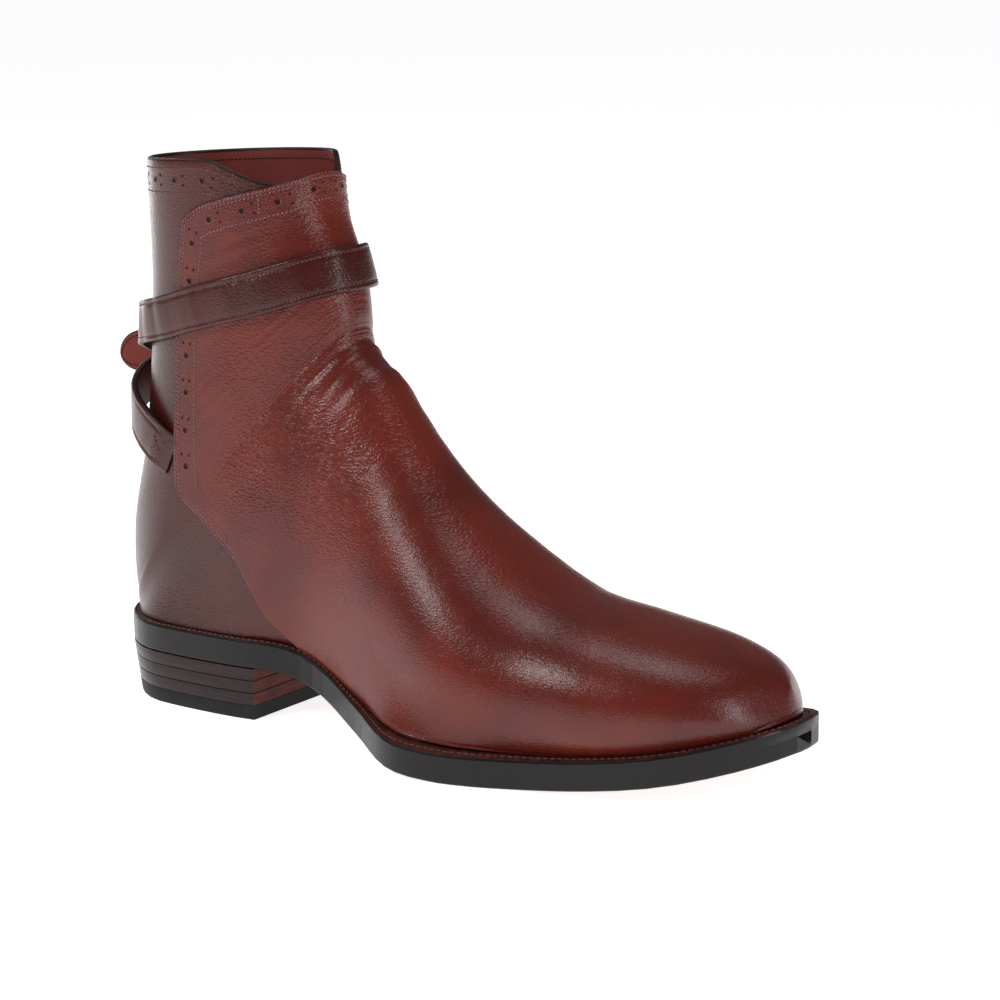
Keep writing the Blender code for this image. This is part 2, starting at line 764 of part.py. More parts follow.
def path_frames(path):
    """Point, forward, across and outward directions at each point of a strap."""
    axis = Vector((world_x(SHAFT_AXIS_STATION), 0.0, 0.0))
    frames = []
    last = len(path) - 1
    for i, (point, across) in enumerate(path):
        forward = (path[min(i + 1, last)][0] - path[max(i - 1, 0)][0]).normalized()
        across = (across - forward * across.dot(forward)).normalized()
        outward = forward.cross(across)
        level = Vector((point.x - axis.x, point.y, 0.0))
        if outward.dot(level) < 0.0:
            outward = -outward
        frames.append((point, forward, across, outward))
    return frames


def strap_mesh(frames, widths):
    """Sweep a strap's flat section, with its softened edges, along its frames."""
    mesh = bmesh.new()
    soft = STRAP_THICKNESS * 0.3
    loops = []
    for (point, _, across, outward), width in zip(frames, widths):
        half = width / 2.0
        inset = min(soft, half * 0.5)
        profile = (
            (-half + inset, 0.0), (half - inset, 0.0), (half, soft), (half, STRAP_THICKNESS - soft),
            (half - inset, STRAP_THICKNESS), (-half + inset, STRAP_THICKNESS),
            (-half, STRAP_THICKNESS - soft), (-half, soft),
        )
        loops.append([mesh.verts.new(point + across * a + outward * b) for a, b in profile])
    for near, far in zip(loops, loops[1:]):
        for i in range(len(near)):
            j = (i + 1) % len(near)
            mesh.faces.new((near[i], near[j], far[j], far[i]))
    mesh.faces.new(loops[0])
    mesh.faces.new(loops[-1])
    bmesh.ops.recalc_face_normals(mesh, faces=mesh.faces)
    return mesh


def long_strap_frames(tree):
    """Frames of the long strap: its turn around the shaft and its free end, curling inwards."""
    path = strap_path(tree, LONG_STRAP_ROUTE)
    point, across = path[-1]
    forward = path[-1][0] - path[-2][0]
    forward.z = 0.0
    forward.normalize()
    round_start = TIP_LENGTH - STRAP_WIDTH / 2.0
    round_angles = (20, 40, 60, 78)
    lengths = [round_start * (i + 1) / 8.0 for i in range(8)]
    lengths += [round_start + STRAP_WIDTH / 2.0 * math.sin(math.radians(a)) for a in round_angles]
    widths = [STRAP_WIDTH] * (len(path) + 8)
    widths += [STRAP_WIDTH * math.cos(math.radians(a)) for a in round_angles]
    travelled = 0.0
    for length in lengths:
        curl = math.radians(TIP_CURL) * ((length + travelled) / 2.0 / TIP_LENGTH) ** 2
        turned = Vector((
            forward.x * math.cos(curl) - forward.y * math.sin(curl),
            forward.x * math.sin(curl) + forward.y * math.cos(curl),
            -TIP_DROP,
        )).normalized()
        point = point + turned * (length - travelled)
        path.append((point, across))
        travelled = length
    return path_frames(path), widths


def arc_lengths(frames):
    """Length along a strap at each of its frames."""
    lengths = [0.0]
    for near, far in zip(frames, frames[1:]):
        lengths.append(lengths[-1] + (far[0] - near[0]).length)
    return lengths


def buckle_arc(frames):
    """Length along the long strap at which it passes through the middle of the buckle."""
    axis = world_x(SHAFT_AXIS_STATION)
    best = None
    for frame, length in zip(frames, arc_lengths(frames)):
        angle = math.degrees(math.atan2(-frame[0].y, axis - frame[0].x)) % 360.0
        away = abs(angle - BUCKLE_ANGLE)
        if best is None or away < best[0]:
            best = (away, length)
    return best[1]


def strap_place(frames, arc, aside, above):
    """Point beside or above a strap's inner face at a length along it."""
    lengths = arc_lengths(frames)
    k = max(i for i in range(len(lengths) - 1) if lengths[i] <= arc or i == 0)
    share = (arc - lengths[k]) / (lengths[k + 1] - lengths[k])
    mixed = [near.lerp(far, share) for near, far in zip(frames[k], frames[k + 1])]
    return mixed[0] + mixed[2].normalized() * aside + mixed[3].normalized() * above


def buckle_levels():
    """Heights of the buckle's front and rear bars above the long strap's inner face."""
    front = STRAP_THICKNESS + BUCKLE_WIRE / 2.0 + 2.0 * GAP
    rear = -BUCKLE_WIRE / 2.0 - 2.0 * GAP
    return front, rear


def wire(name, points, diameter, finish, collection, cyclic):
    """Round wire through a few points."""
    data = bpy.data.curves.new(name, "CURVE")
    data.dimensions = "3D"
    data.bevel_depth = diameter / 2.0
    data.bevel_resolution = 2
    data.use_fill_caps = True
    spline = data.splines.new("POLY")
    spline.points.add(len(points) - 1)
    for slot, point in zip(spline.points, points):
        slot.co = (*point, 1.0)
    spline.use_cyclic_u = cyclic
    item = bpy.data.objects.new(name, data)
    item.data.materials.append(finish_material(finish))
    collection.objects.link(item)
    return item


def build_straps(collection, cutters):
    """The two straps, the buckle that joins them and the slot for its prong."""
    tree = shaft_tree()
    frames, widths = long_strap_frames(tree)
    middle = buckle_arc(frames)
    front_bar = -(BUCKLE_INSIDE_LENGTH + BUCKLE_WIRE) / 2.0
    rear_bar = -front_bar
    front_level, rear_level = buckle_levels()

    def local(along, aside, above):
        return strap_place(frames, middle + along, aside, above)

    side = STRAP_WIDTH / 2.0 + BUCKLE_SIDE_ROOM + BUCKLE_WIRE / 2.0
    corners = []
    bend = BUCKLE_WIRE
    for along, level, turn in ((front_bar, front_level, 1), (rear_bar, rear_level, -1)):
        inward = bend if along < 0.0 else -bend
        ease = (rear_level - front_level) * abs(bend / (rear_bar - front_bar))
        eased = level + ease if along < 0.0 else level - ease
        first = [(along + inward, -side, eased), (along, -side + bend, level)]
        second = [(along, side - bend, level), (along + inward, side, eased)]
        corners += first + second if turn > 0 else [second[1], second[0], first[1], first[0]]
    ring = [local(*corner) for corner in corners]
    wire("buckle_frame", ring, BUCKLE_WIRE, BRASS, collection, True)

    prong_start = rear_bar - BUCKLE_WIRE / 2.0 - PRONG_WIRE / 2.0 - GAP
    above_front = front_level + BUCKLE_WIRE / 2.0 + PRONG_WIRE / 2.0 + GAP
    prong = [
        (prong_start, 0.0, rear_level),
        ((prong_start + front_bar) / 2.0, 0.0, (rear_level + above_front) / 2.0 + PRONG_WIRE / 3.0),
        (front_bar, 0.0, above_front),
        (front_bar - BUCKLE_WIRE * 0.9, 0.0, above_front - PRONG_WIRE * 0.15),
    ]
    wire("buckle_prong", [local(*p) for p in prong], PRONG_WIRE, BRASS, collection, False)

    long_strap = add_object("long_strap", strap_mesh(frames, widths), STRAP_LEATHER, collection)
    slot_length = prong_start - front_bar - BUCKLE_WIRE / 2.0
    cutter_mesh = bmesh.new()
    bmesh.ops.create_cube(cutter_mesh, size=1.0)
    for vert in cutter_mesh.verts:
        spot = vert.co
        along = (prong_start + front_bar) / 2.0 + spot.x * slot_length
        vert.co = local(along, spot.y * SLOT_WIDTH, STRAP_THICKNESS / 2.0 + spot.z * STRAP_THICKNESS * 4.0)
    bmesh.ops.recalc_face_normals(cutter_mesh, faces=cutter_mesh.faces)
    add_cut(long_strap, "DIFFERENCE", add_cutter("slot_cutter", cutter_mesh, cutters))

    short = path_frames(strap_path(tree, BUCKLE_STRAP_ROUTE))
    mesh = strap_mesh(short, [STRAP_WIDTH] * len(short))
    add_object("buckle_strap", mesh, STRAP_LEATHER, collection)


def main():
    """Build the boot."""
    clear_scene()
    boot = make_collection("jodhpur_boot")
    cutters = make_collection("cutters")
    build_outsole(boot)
    build_welt(boot)
    build_insole(boot)
    build_heel(boot)
    build_upper(boot, cutters)
    build_front_panel(boot, cutters)
    build_straps(boot, cutters)


main()
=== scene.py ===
"""Looks of a right-foot jodhpur boot: leather, stitching, broguing, straps, buckle and sole.

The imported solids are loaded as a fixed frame. The upper and its front panel are laid again as
fine surfaces over the same last, the straps are swept again with rolled edges, and the sole's
layers are copied with broken edges. Metres, +X to the toe, +Y to the inner side, +Z up.
"""

import logging
import math
from dataclasses import dataclass
from enum import Enum
from typing import Callable

import bpy
import numpy as np
from mathutils import Matrix, Vector
from mathutils.bvhtree import BVHTree


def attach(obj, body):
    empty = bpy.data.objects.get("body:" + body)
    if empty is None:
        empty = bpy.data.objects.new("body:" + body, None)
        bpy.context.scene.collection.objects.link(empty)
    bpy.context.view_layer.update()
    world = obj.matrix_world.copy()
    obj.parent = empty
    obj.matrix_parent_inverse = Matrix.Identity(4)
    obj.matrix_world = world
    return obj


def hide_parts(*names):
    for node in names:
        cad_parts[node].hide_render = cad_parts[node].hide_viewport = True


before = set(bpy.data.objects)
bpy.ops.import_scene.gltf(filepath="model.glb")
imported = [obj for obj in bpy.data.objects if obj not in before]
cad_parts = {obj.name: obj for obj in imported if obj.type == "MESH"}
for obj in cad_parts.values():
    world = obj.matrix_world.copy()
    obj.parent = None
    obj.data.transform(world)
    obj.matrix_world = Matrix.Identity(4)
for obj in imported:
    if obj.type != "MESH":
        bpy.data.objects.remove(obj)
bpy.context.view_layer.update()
LOG = logging.getLogger("jodhpur_boot")


class Side(Enum):
    """The two sides of the boot, by the sign of Y."""

    OUTER = -1.0
    INNER = 1.0


# Curves and tables


def curve_through(places: list, values: list, at: np.ndarray, mirror: int = 0) -> np.ndarray:
    """Read a smooth curve through a table.

    Args:
        places: Rising places of the rows.
        values: Value of each row.
        at: Places to read.
        mirror: 1 or -1 to continue the curve evenly or oddly before its first row.

    Returns:
        The values read, in the shape of at.
    """
    p, v = np.asarray(places, float), np.asarray(values, float)
    if mirror:
        p = np.concatenate([2.0 * p[0] - p[2:0:-1], p])
        v = np.concatenate([mirror * v[2:0:-1], v])
    span = np.diff(p)
    step = np.diff(v) / span
    slope = np.empty_like(p)
    slope[1:-1] = (step[:-1] * span[1:] + step[1:] * span[:-1]) / (span[1:] + span[:-1])
    slope[0], slope[-1] = step[0], step[-1]
    x = np.clip(at, p[0], p[-1])
    k = np.clip(np.searchsorted(p, x, side="left") - 1, 0, len(p) - 2)
    u = (x - p[k]) / span[k]
    rise = (3.0 - 2.0 * u) * u * u
    bend = (1.0 - u) ** 2 * u * slope[k] - (1.0 - u) * u * u * slope[k + 1]
    return v[k] * (1.0 - rise) + v[k + 1] * rise + span[k] * bend


def column(rows: tuple, index: int, scale: float = 1.0) -> list:
    """One column of a table, scaled."""
    return [row[index] * scale for row in rows]


def smooth_step(value: np.ndarray) -> np.ndarray:
    """Ease from 0 to 1."""
    u = np.clip(value, 0.0, 1.0)
    return u * u * (3.0 - 2.0 * u)


def unit(vectors: np.ndarray) -> np.ndarray:
    """Scale vectors to length 1 along the last axis."""
    return vectors / np.maximum(np.linalg.norm(vectors, axis=-1, keepdims=True), 1e-12)


@dataclass
class Last:
    """The form that the upper is drawn over, as sections fanned from the toe to the collar.

    Stations are shares of the outsole's length from the back of the heel.
    """

    length: float = 0.302
    ball_width: float = 0.104
    heel_width: float = 0.068
    shaft_width: float = 0.0580
    heel_height: float = 0.0205
    heel_length: float = 0.082
    stack: float = 0.0111
    toe_spring: float = 0.0165
    toe_swing: float = 0.0157
    heel_round: float = 0.0347
    toe_round: float = 0.0590
    bluntness: float = 2.35
    reach_back: float = 0.0020
    reach_heel: float = 0.0032
    reach_ball: float = 0.0080
    reach_toe: float = 0.0070
    upper_height: float = 0.1825
    hem_allowance: float = 0.0015
    gap: float = 0.0003
    rest_station: float = 0.14
    axis_station: float = 0.192
    heel_turn: float = 31.0
    collar_top: float = 44.0
    heel_plan: tuple = ((0.00, 0.470, 0.470), (0.11, 0.500, 0.500), (0.25, 0.478, 0.505))
    fore_plan: tuple = (
        (0.36, 0.260, 0.263), (0.46, 0.378, 0.252), (0.55, 0.523, 0.300), (0.64, 0.516, 0.394),
        (0.71, 0.460, 0.440), (0.80, 0.419, 0.425), (0.90, 0.394, 0.335), (1.00, 0.318, 0.260),
    )
    arch: tuple = ((0.3235, 0.93), (0.38, 0.66), (0.46, 0.31), (0.54, 0.08), (0.62, 0.0), (1.0, 0.0))
    # Columns: turn, foot, back, ridge, rise, outer, inner, widest, fullness, shift
    foot_fan: tuple = (
        (0.0, 0.977, 0.0, 0.968, 0.059, 0.000, 0.000, 0.42, 2.20, 0.96),
        (2.0, 0.9685, 0.0, 0.945, 0.095, 0.130, 0.112, 0.42, 2.20, 0.92),
        (4.0, 0.947, 0.0, 0.912, 0.128, 0.246, 0.208, 0.40, 2.20, 0.83),
        (6.0, 0.897, 0.0, 0.862, 0.172, 0.338, 0.288, 0.38, 2.20, 0.67),
        (8.5, 0.815, 0.0, 0.773, 0.223, 0.400, 0.352, 0.35, 2.20, 0.45),
        (11.5, 0.709, 0.0, 0.679, 0.275, 0.412, 0.388, 0.32, 2.10, 0.25),
        (14.5, 0.599, 0.0, 0.589, 0.374, 0.430, 0.362, 0.30, 2.00, 0.13),
        (17.5, 0.483, 0.0, 0.506, 0.478, 0.348, 0.297, 0.30, 2.00, 0.0),
        (20.0, 0.361, 0.0, 0.443, 0.548, 0.272, 0.262, 0.30, 2.10, 0.0),
        (23.0, 0.215, 0.0, 0.399, 0.589, 0.280, 0.272, 0.28, 2.20, 0.0),
        (26.0, 0.099, 0.0, 0.379, 0.640, 0.276, 0.274, 0.28, 2.20, 0.0),
    )
    shaft_fan: tuple = (
        (29.0, 0.031, 0.0, 0.377, 0.670, 0.490, 0.488, 0.29, 2.20, 0.0),
        (31.0, 0.0072, 0.0, 0.378, 0.688, 0.496, 0.490, 0.30, 2.20, 0.0),
        (34.0, -0.0035, 0.156, 0.373, 0.740, 0.500, 0.494, 0.42, 2.20, 0.0),
        (37.0, 0.0260, 0.381, 0.365, 0.795, 0.482, 0.478, 0.46, 2.20, 0.0),
        (40.0, 0.0475, 0.667, 0.340, 0.882, 0.476, 0.476, 0.48, 2.20, 0.0),
        (44.0, 0.0525, 0.998, 0.327, 1.010, 0.500, 0.500, 0.50, 2.20, 0.0),
    )

    def x_at(self, station: np.ndarray) -> np.ndarray:
        """X of a station."""
        return (np.asarray(station, float) - self.rest_station) * self.length

    def station_at(self, x: np.ndarray) -> np.ndarray:
        """Station of an X."""
        return np.asarray(x, float) / self.length + self.rest_station

    def half_width(self, station: np.ndarray, side: Side) -> np.ndarray:
        """Half width of the outsole on one side, round ends included.

        Args:
            station: Stations along the sole.
            side: Side of the boot.

        Returns:
            Half widths.
        """
        index = 1 if side is Side.OUTER else 2
        stations = column(self.heel_plan, 0) + column(self.fore_plan, 0)
        widths = column(self.heel_plan, index, self.heel_width)
        widths += column(self.fore_plan, index, self.ball_width)
        width = curve_through(stations, widths, station)
        heel, toe = self.heel_round / self.length, self.toe_round / self.length
        rear = np.sqrt(np.clip(1.0 - np.clip(1.0 - station / heel, 0.0, 1.0) ** 2, 0.0, 1.0))
        depth = np.clip((station - 1.0 + toe) / toe, 0.0, 1.0)
        front = np.clip(1.0 - depth ** self.bluntness, 0.0, 1.0) ** (1.0 / self.bluntness)
        return width * rear * front

    def centre_line(self, station: np.ndarray) -> np.ndarray:
        """Y of the sole's middle line."""
        return self.toe_swing * np.clip((station - 0.35) / 0.65, 0.0, 1.0) ** 1.6

    def welt_top(self, station: np.ndarray) -> np.ndarray:
        """Height of the welt's upper face.

        Args:
            station: Stations along the sole.

        Returns:
            Heights above the floor.
        """
        station = np.clip(station, 0.0, 1.0)
        flat = self.heel_length / self.length + 0.012
        places, shares = [0.0, flat] + column(self.arch, 0), [1.0, 1.0] + column(self.arch, 1)
        fall = curve_through(places, shares, station)
        fall = np.where(station <= flat, 1.0, np.where(station >= 0.62, 0.0, np.clip(fall, 0.0, 1.0)))
        spring = self.toe_spring * np.clip((station - 0.68) / 0.32, 0.0, 1.0) ** 1.8
        return self.heel_height * fall + spring + self.stack

    @property
    def seat(self) -> float:
        """Height of the welt's upper face over the heel."""
        return float(self.welt_top(np.array(0.0)))

    def welt_reach(self, share: np.ndarray) -> np.ndarray:
        """How far the welt stands out beyond the upper."""
        wider = smooth_step((share - 0.30) / 0.25)
        return self.reach_heel + (self.reach_ball - self.reach_heel) * wider

    def feather_half(self, station: np.ndarray, side: Side) -> np.ndarray:
        """Half width of the line where the upper meets the welt.

        Args:
            station: Stations along the sole.
            side: Side of the boot.

        Returns:
            Half widths.
        """
        back, front = self.reach_back / self.length, self.reach_toe / self.length
        share = np.clip((station - back) / (1.0 - back - front), 0.0, 1.0)
        middle = self.half_width(np.clip(share, 0.12, 0.80), side)
        return self.half_width(share, side) * (middle - self.welt_reach(share)) / middle

    def fan(self, index: int, turn: np.ndarray, mirror: int) -> np.ndarray:
        """Read one column of the fan tables, in metres for widths.

        Args:
            index: Column of the tables.
            turn: Sections to read.
            mirror: 1 or -1 where the column goes on evenly or oddly past the toe.

        Returns:
            The values read.
        """
        turns = column(self.foot_fan, 0) + column(self.shaft_fan, 0)
        scales = (self.ball_width, self.shaft_width) if index in (5, 6) else (1.0, 1.0)
        values = column(self.foot_fan, index, scales[0]) + column(self.shaft_fan, index, scales[1])
        return curve_through(turns, values, turn, mirror)

    def point(self, turn: np.ndarray, around: np.ndarray) -> np.ndarray:
        """Points of the upper's outer face.

        Args:
            turn: Section of the fan, 0 at the toe and 44 at the collar.
            around: Place in the section: -1 outer foot or back, 0 ridge, 1 inner.

        Returns:
            Points with X, Y and Z on the last axis.
        """
        turn, around = np.broadcast_arrays(np.asarray(turn, float), np.asarray(around, float))
        foot, ridge = self.fan(1, turn, 1), self.fan(3, turn, 1)
        closed = turn >= self.heel_turn
        seat = np.where(closed, self.seat, self.welt_top(foot))
        back = np.where(closed, self.upper_height * np.maximum(self.fan(2, turn, 0), 0.0), 0.0)
        low = seat + self.gap - self.hem_allowance + back
        high = seat + self.upper_height * self.fan(4, turn, 1)
        inner = around >= 0.0
        width = np.maximum(np.where(inner, self.fan(6, turn, -1), self.fan(5, turn, -1)), 0.0)
        feet = np.where(inner, self.feather_half(foot, Side.INNER), self.feather_half(foot, Side.OUTER))
        feet = np.where(closed, 0.0, np.minimum(feet, 1.2 * width))
        widest, fullness = self.fan(7, turn, 1), self.fan(8, turn, 1)
        climb = 1.0 - np.abs(around)
        upright = np.clip(feet / np.maximum(width, 1e-6) / 0.75, 0.0, 1.0)
        part = np.clip(climb / 0.5, 0.0, 1.0)
        lower = (1.0 - np.cos(part * np.pi / 2.0)) * (1.0 - upright) + part * upright
        bulge = np.clip(1.0 - (1.0 - lower) ** 2, 0.0, 1.0) ** (1.0 / (2.0 - upright))
        angle = np.clip((climb - 0.5) * np.pi, 0.0, np.pi / 2.0)
        above = widest + (1.0 - widest) * np.sin(angle) ** (2.0 / fullness)
        share = np.where(climb < 0.5, lower * widest, above)
        round_reach = width * np.maximum(np.cos(angle), 0.0) ** (2.0 / fullness)
        reach = np.where(climb < 0.5, feet + (width - feet) * bulge, round_reach)
        centre = self.centre_line(foot) * (1.0 - share) + self.toe_swing * self.fan(9, turn, 1) * share
        x = self.x_at(foot + (ridge - foot) * share)
        y = centre + np.where(inner, reach, -reach)
        return np.stack([x, y, low + (high - low) * share], axis=-1)

    def normal(self, turn: np.ndarray, around: np.ndarray) -> np.ndarray:
        """Outward normals of the upper's outer face, by small differences.

        Args:
            turn: Sections of the fan.
            around: Places in the sections.

        Returns:
            Unit normals.
        """
        turn, around = np.broadcast_arrays(np.asarray(turn, float), np.asarray(around, float))
        a = np.clip(turn - 0.15, 0.3, None)
        b = np.maximum(np.clip(turn + 0.15, None, self.collar_top), a + 0.1)
        c, d = np.clip(around - 0.012, -0.997, None), np.clip(around + 0.012, None, 0.997)
        middle = (a + b) / 2.0
        along = self.point(b, around) - self.point(a, around)
        across = self.point(middle, d) - self.point(middle, c)
        return unit(np.cross(across, along))


@dataclass
class PanelOutline:
    """Rear and top edge of the front panel, seen from the side as stations and height shares."""

    last: Last
    hem_lift: float = 0.0006
    rear: tuple = (
        (0.420, -0.200), (0.328, 0.002), (0.296, 0.047), (0.270, 0.108), (0.242, 0.169),
        (0.211, 0.212), (0.178, 0.251), (0.157, 0.277), (0.147, 0.298), (0.145, 0.345),
        (0.147, 0.451), (0.150, 0.580), (0.156, 0.709), (0.164, 0.791), (0.172, 0.866),
    )
    top: tuple = (
        (0.172, 0.866), (0.175, 0.880), (0.182, 0.891), (0.202, 0.911), (0.234, 0.927),
        (0.262, 0.939), (0.298, 0.955), (0.324, 0.970), (0.336, 0.984), (0.360, 0.990),
    )

    def rear_x(self, z: np.ndarray) -> np.ndarray:
        """X of the rear edge at a height."""
        share = (np.asarray(z, float) - self.last.seat) / self.last.upper_height
        return self.last.x_at(curve_through(column(self.rear, 1), column(self.rear, 0), share))

    def top_z(self, x: np.ndarray) -> np.ndarray:
        """Height of the top edge at an X."""
        share = curve_through(column(self.top, 0), column(self.top, 1), self.last.station_at(x))
        return self.last.seat + self.last.upper_height * share

    def covers(self, points: np.ndarray, margin: float = 0.0) -> np.ndarray:
        """Whether points seen from the side lie under the panel."""
        return (points[..., 0] > self.rear_x(points[..., 2]) - margin) & (
            points[..., 2] < self.top_z(points[..., 0]) + margin)

    def inset_line(self, inset: float, low: float, end_x: float) -> np.ndarray:
        """Line inside the rear and top edge, as X and Z.

        Args:
            inset: Distance from the edge.
            low: Height at which the line starts on the rear edge.
            end_x: X at which it ends under the top edge.

        Returns:
            Rows of X and Z from the sole up.
        """
        corner = float(self.last.x_at(self.top[0][0]))
        z = np.linspace(low, float(self.top_z(corner)), 160)
        x = np.linspace(corner, end_x + inset, 80)[1:]
        edge = np.concatenate([np.stack([self.rear_x(z), z], 1), np.stack([x, self.top_z(x)], 1)])
        tangent = unit(np.gradient(edge, axis=0))
        line = edge + inset * np.stack([tangent[:, 1], -tangent[:, 0]], 1)
        near = np.linalg.norm(line[:, None] - edge[None], axis=2).min(axis=1)
        return line[(near > inset * 0.97) & (line[:, 0] < end_x)]


# Mesh helpers


def quad_grid(rows: int, columns: int, closed: bool = False) -> np.ndarray:
    """Vertex numbers of the quads of a grid, with the columns joined up where closed.

    Args:
        rows: Number of rows.
        columns: Number of columns.
        closed: Whether the last column joins the first.

    Returns:
        Four vertex numbers for each quad.
    """
    across = columns if closed else columns - 1
    i, j = np.meshgrid(np.arange(rows - 1), np.arange(across), indexing="ij")
    k = (j + 1) % columns
    quads = [i * columns + j, i * columns + k, (i + 1) * columns + k, (i + 1) * columns + j]
    return np.stack(quads, axis=-1).reshape(-1, 4)


def select_only(piece: bpy.types.Object) -> None:
    """Select one object and make it active."""
    bpy.ops.object.select_all(action="DESELECT")
    piece.select_set(True)
    bpy.context.view_layer.objects.active = piece


def tidy_mesh(piece: bpy.types.Object, distance: float = 2e-6) -> None:
    """Merge a piece's doubles and turn its faces outwards.

    Args:
        piece: Piece to merge.
        distance: Corners nearer than this become one.
    """
    select_only(piece)
    bpy.ops.object.mode_set(mode="EDIT")
    bpy.ops.mesh.select_all(action="SELECT")
    bpy.ops.mesh.remove_doubles(threshold=distance)
    bpy.ops.mesh.dissolve_degenerate(threshold=1e-7)
    bpy.ops.mesh.select_all(action="SELECT")
    bpy.ops.mesh.normals_make_consistent(inside=False)
    bpy.ops.object.mode_set(mode="OBJECT")


def shade(piece: bpy.types.Object, angle: float = 35.0) -> None:
    """Shade a piece smooth, apart from edges sharper than an angle."""
    select_only(piece)
    bpy.ops.object.shade_smooth_by_angle(angle=math.radians(angle))


def add_mesh(
    name: str, points: np.ndarray, faces: list, materials: list,
    indices: list | None = None, angle: float = 35.0,
) -> bpy.types.Object:
    """Add a smooth shaded mesh piece at the origin, its doubles merged and its faces outwards.

    Args:
        name: Name of the piece.
        points: Corner points.
        faces: Corner numbers of each face.
        materials: Materials, in slot order.
        indices: Material slot of each face, or None for the first.
        angle: Edges sharper than this stay sharp, in degrees.

    Returns:
        The new object.
    """
    data = bpy.data.meshes.new(name)
    corners = np.asarray(points, float).reshape(-1, 3).tolist()
    data.from_pydata(corners, [], [tuple(int(i) for i in face) for face in faces])
    for material in materials:
        data.materials.append(material)
    if indices is not None:
        data.polygons.foreach_set("material_index", np.asarray(indices, np.int32))
    piece = bpy.data.objects.new(name, data)
    bpy.context.scene.collection.objects.link(piece)
    tidy_mesh(piece)
    shade(piece, angle)
    return piece


def finish_piece(piece: bpy.types.Object, slot: str, *replaced: str) -> bpy.types.Object:
    """Ride a piece on the boot and hide the solids that it stands for.

    Args:
        piece: Finished piece.
        slot: Material slot; not used.
        *replaced: Solids that the piece stands for.

    Returns:
        The same piece.
    """
    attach(piece, "root")
    if replaced:
        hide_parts(*replaced)
    LOG.info("%s: %d faces", piece.name, len(piece.data.polygons))
    return piece


# Node groups and finishes


class NodeBuilder:
    """Short way to add and join shader nodes in one tree."""

    def __init__(self, tree: bpy.types.NodeTree) -> None:
        """Keep the tree."""
        self.tree = tree

    def put(self, socket: bpy.types.NodeSocket, value: object) -> None:
        """Link a socket, or set its value.

        Args:
            socket: Socket to feed.
            value: Another socket, or a value.
        """
        if isinstance(value, bpy.types.NodeSocket):
            self.tree.links.new(value, socket)
        else:
            socket.default_value = value

    def add(self, kind: str, **values: object) -> bpy.types.Node:
        """Add a node and set its properties and inputs.

        Args:
            kind: Node class without the ShaderNode prefix.
            **values: Properties, or input sockets by name with _ for a space or by in and number.

        Returns:
            The node.
        """
        node = self.tree.nodes.new(kind if kind.startswith("Node") else "ShaderNode" + kind)
        for key, value in values.items():
            if key.startswith("in") and key[2:].isdigit():
                self.put(node.inputs[int(key[2:])], value)
            elif hasattr(node, key):
                setattr(node, key, value)
            else:
                self.put(node.inputs[key.replace("_", " ")], value)
        return node

    def math(self, operation: str, a: object, b: object = 0.0) -> bpy.types.NodeSocket:
        """Math node on two sockets or numbers."""
        return self.add("Math", operation=operation, in0=a, in1=b).outputs[0]

    def ramp(self, fac: object, low: float, high: float) -> bpy.types.NodeSocket:
        """Ease from 0 at low to 1 at high."""
        kind = "SMOOTHSTEP"
        node = self.add("MapRange", interpolation_type=kind, Value=fac, From_Min=low, From_Max=high)
        return node.outputs[0]

    def mix(self, fac: object, a: object, b: object) -> bpy.types.NodeSocket:
        """Mix two colours.

        Args:
            fac: Share of the second colour.
            a: First colour.
            b: Second colour.

        Returns:
            The mixed colour.
        """
        node = self.tree.nodes.new("ShaderNodeMix")
        node.data_type = "RGBA"
        for index, value in ((0, fac), (6, a), (7, b)):
            self.put(node.inputs[index], value)
        return node.outputs[2]


# Cells or clouds a metre of each texture of the leather
PORE_SCALE = 1250.0
PEBBLE_SCALE = 640.0
WARP_SCALE = 260.0
PATCH_SCALE = 24.0
DYE_SCALE = 22.0
WARP_REACH = 0.0022
PORE_HEIGHT = 0.20
CALM_GRAIN = 0.22
BUMP_DEPTH = 0.00030


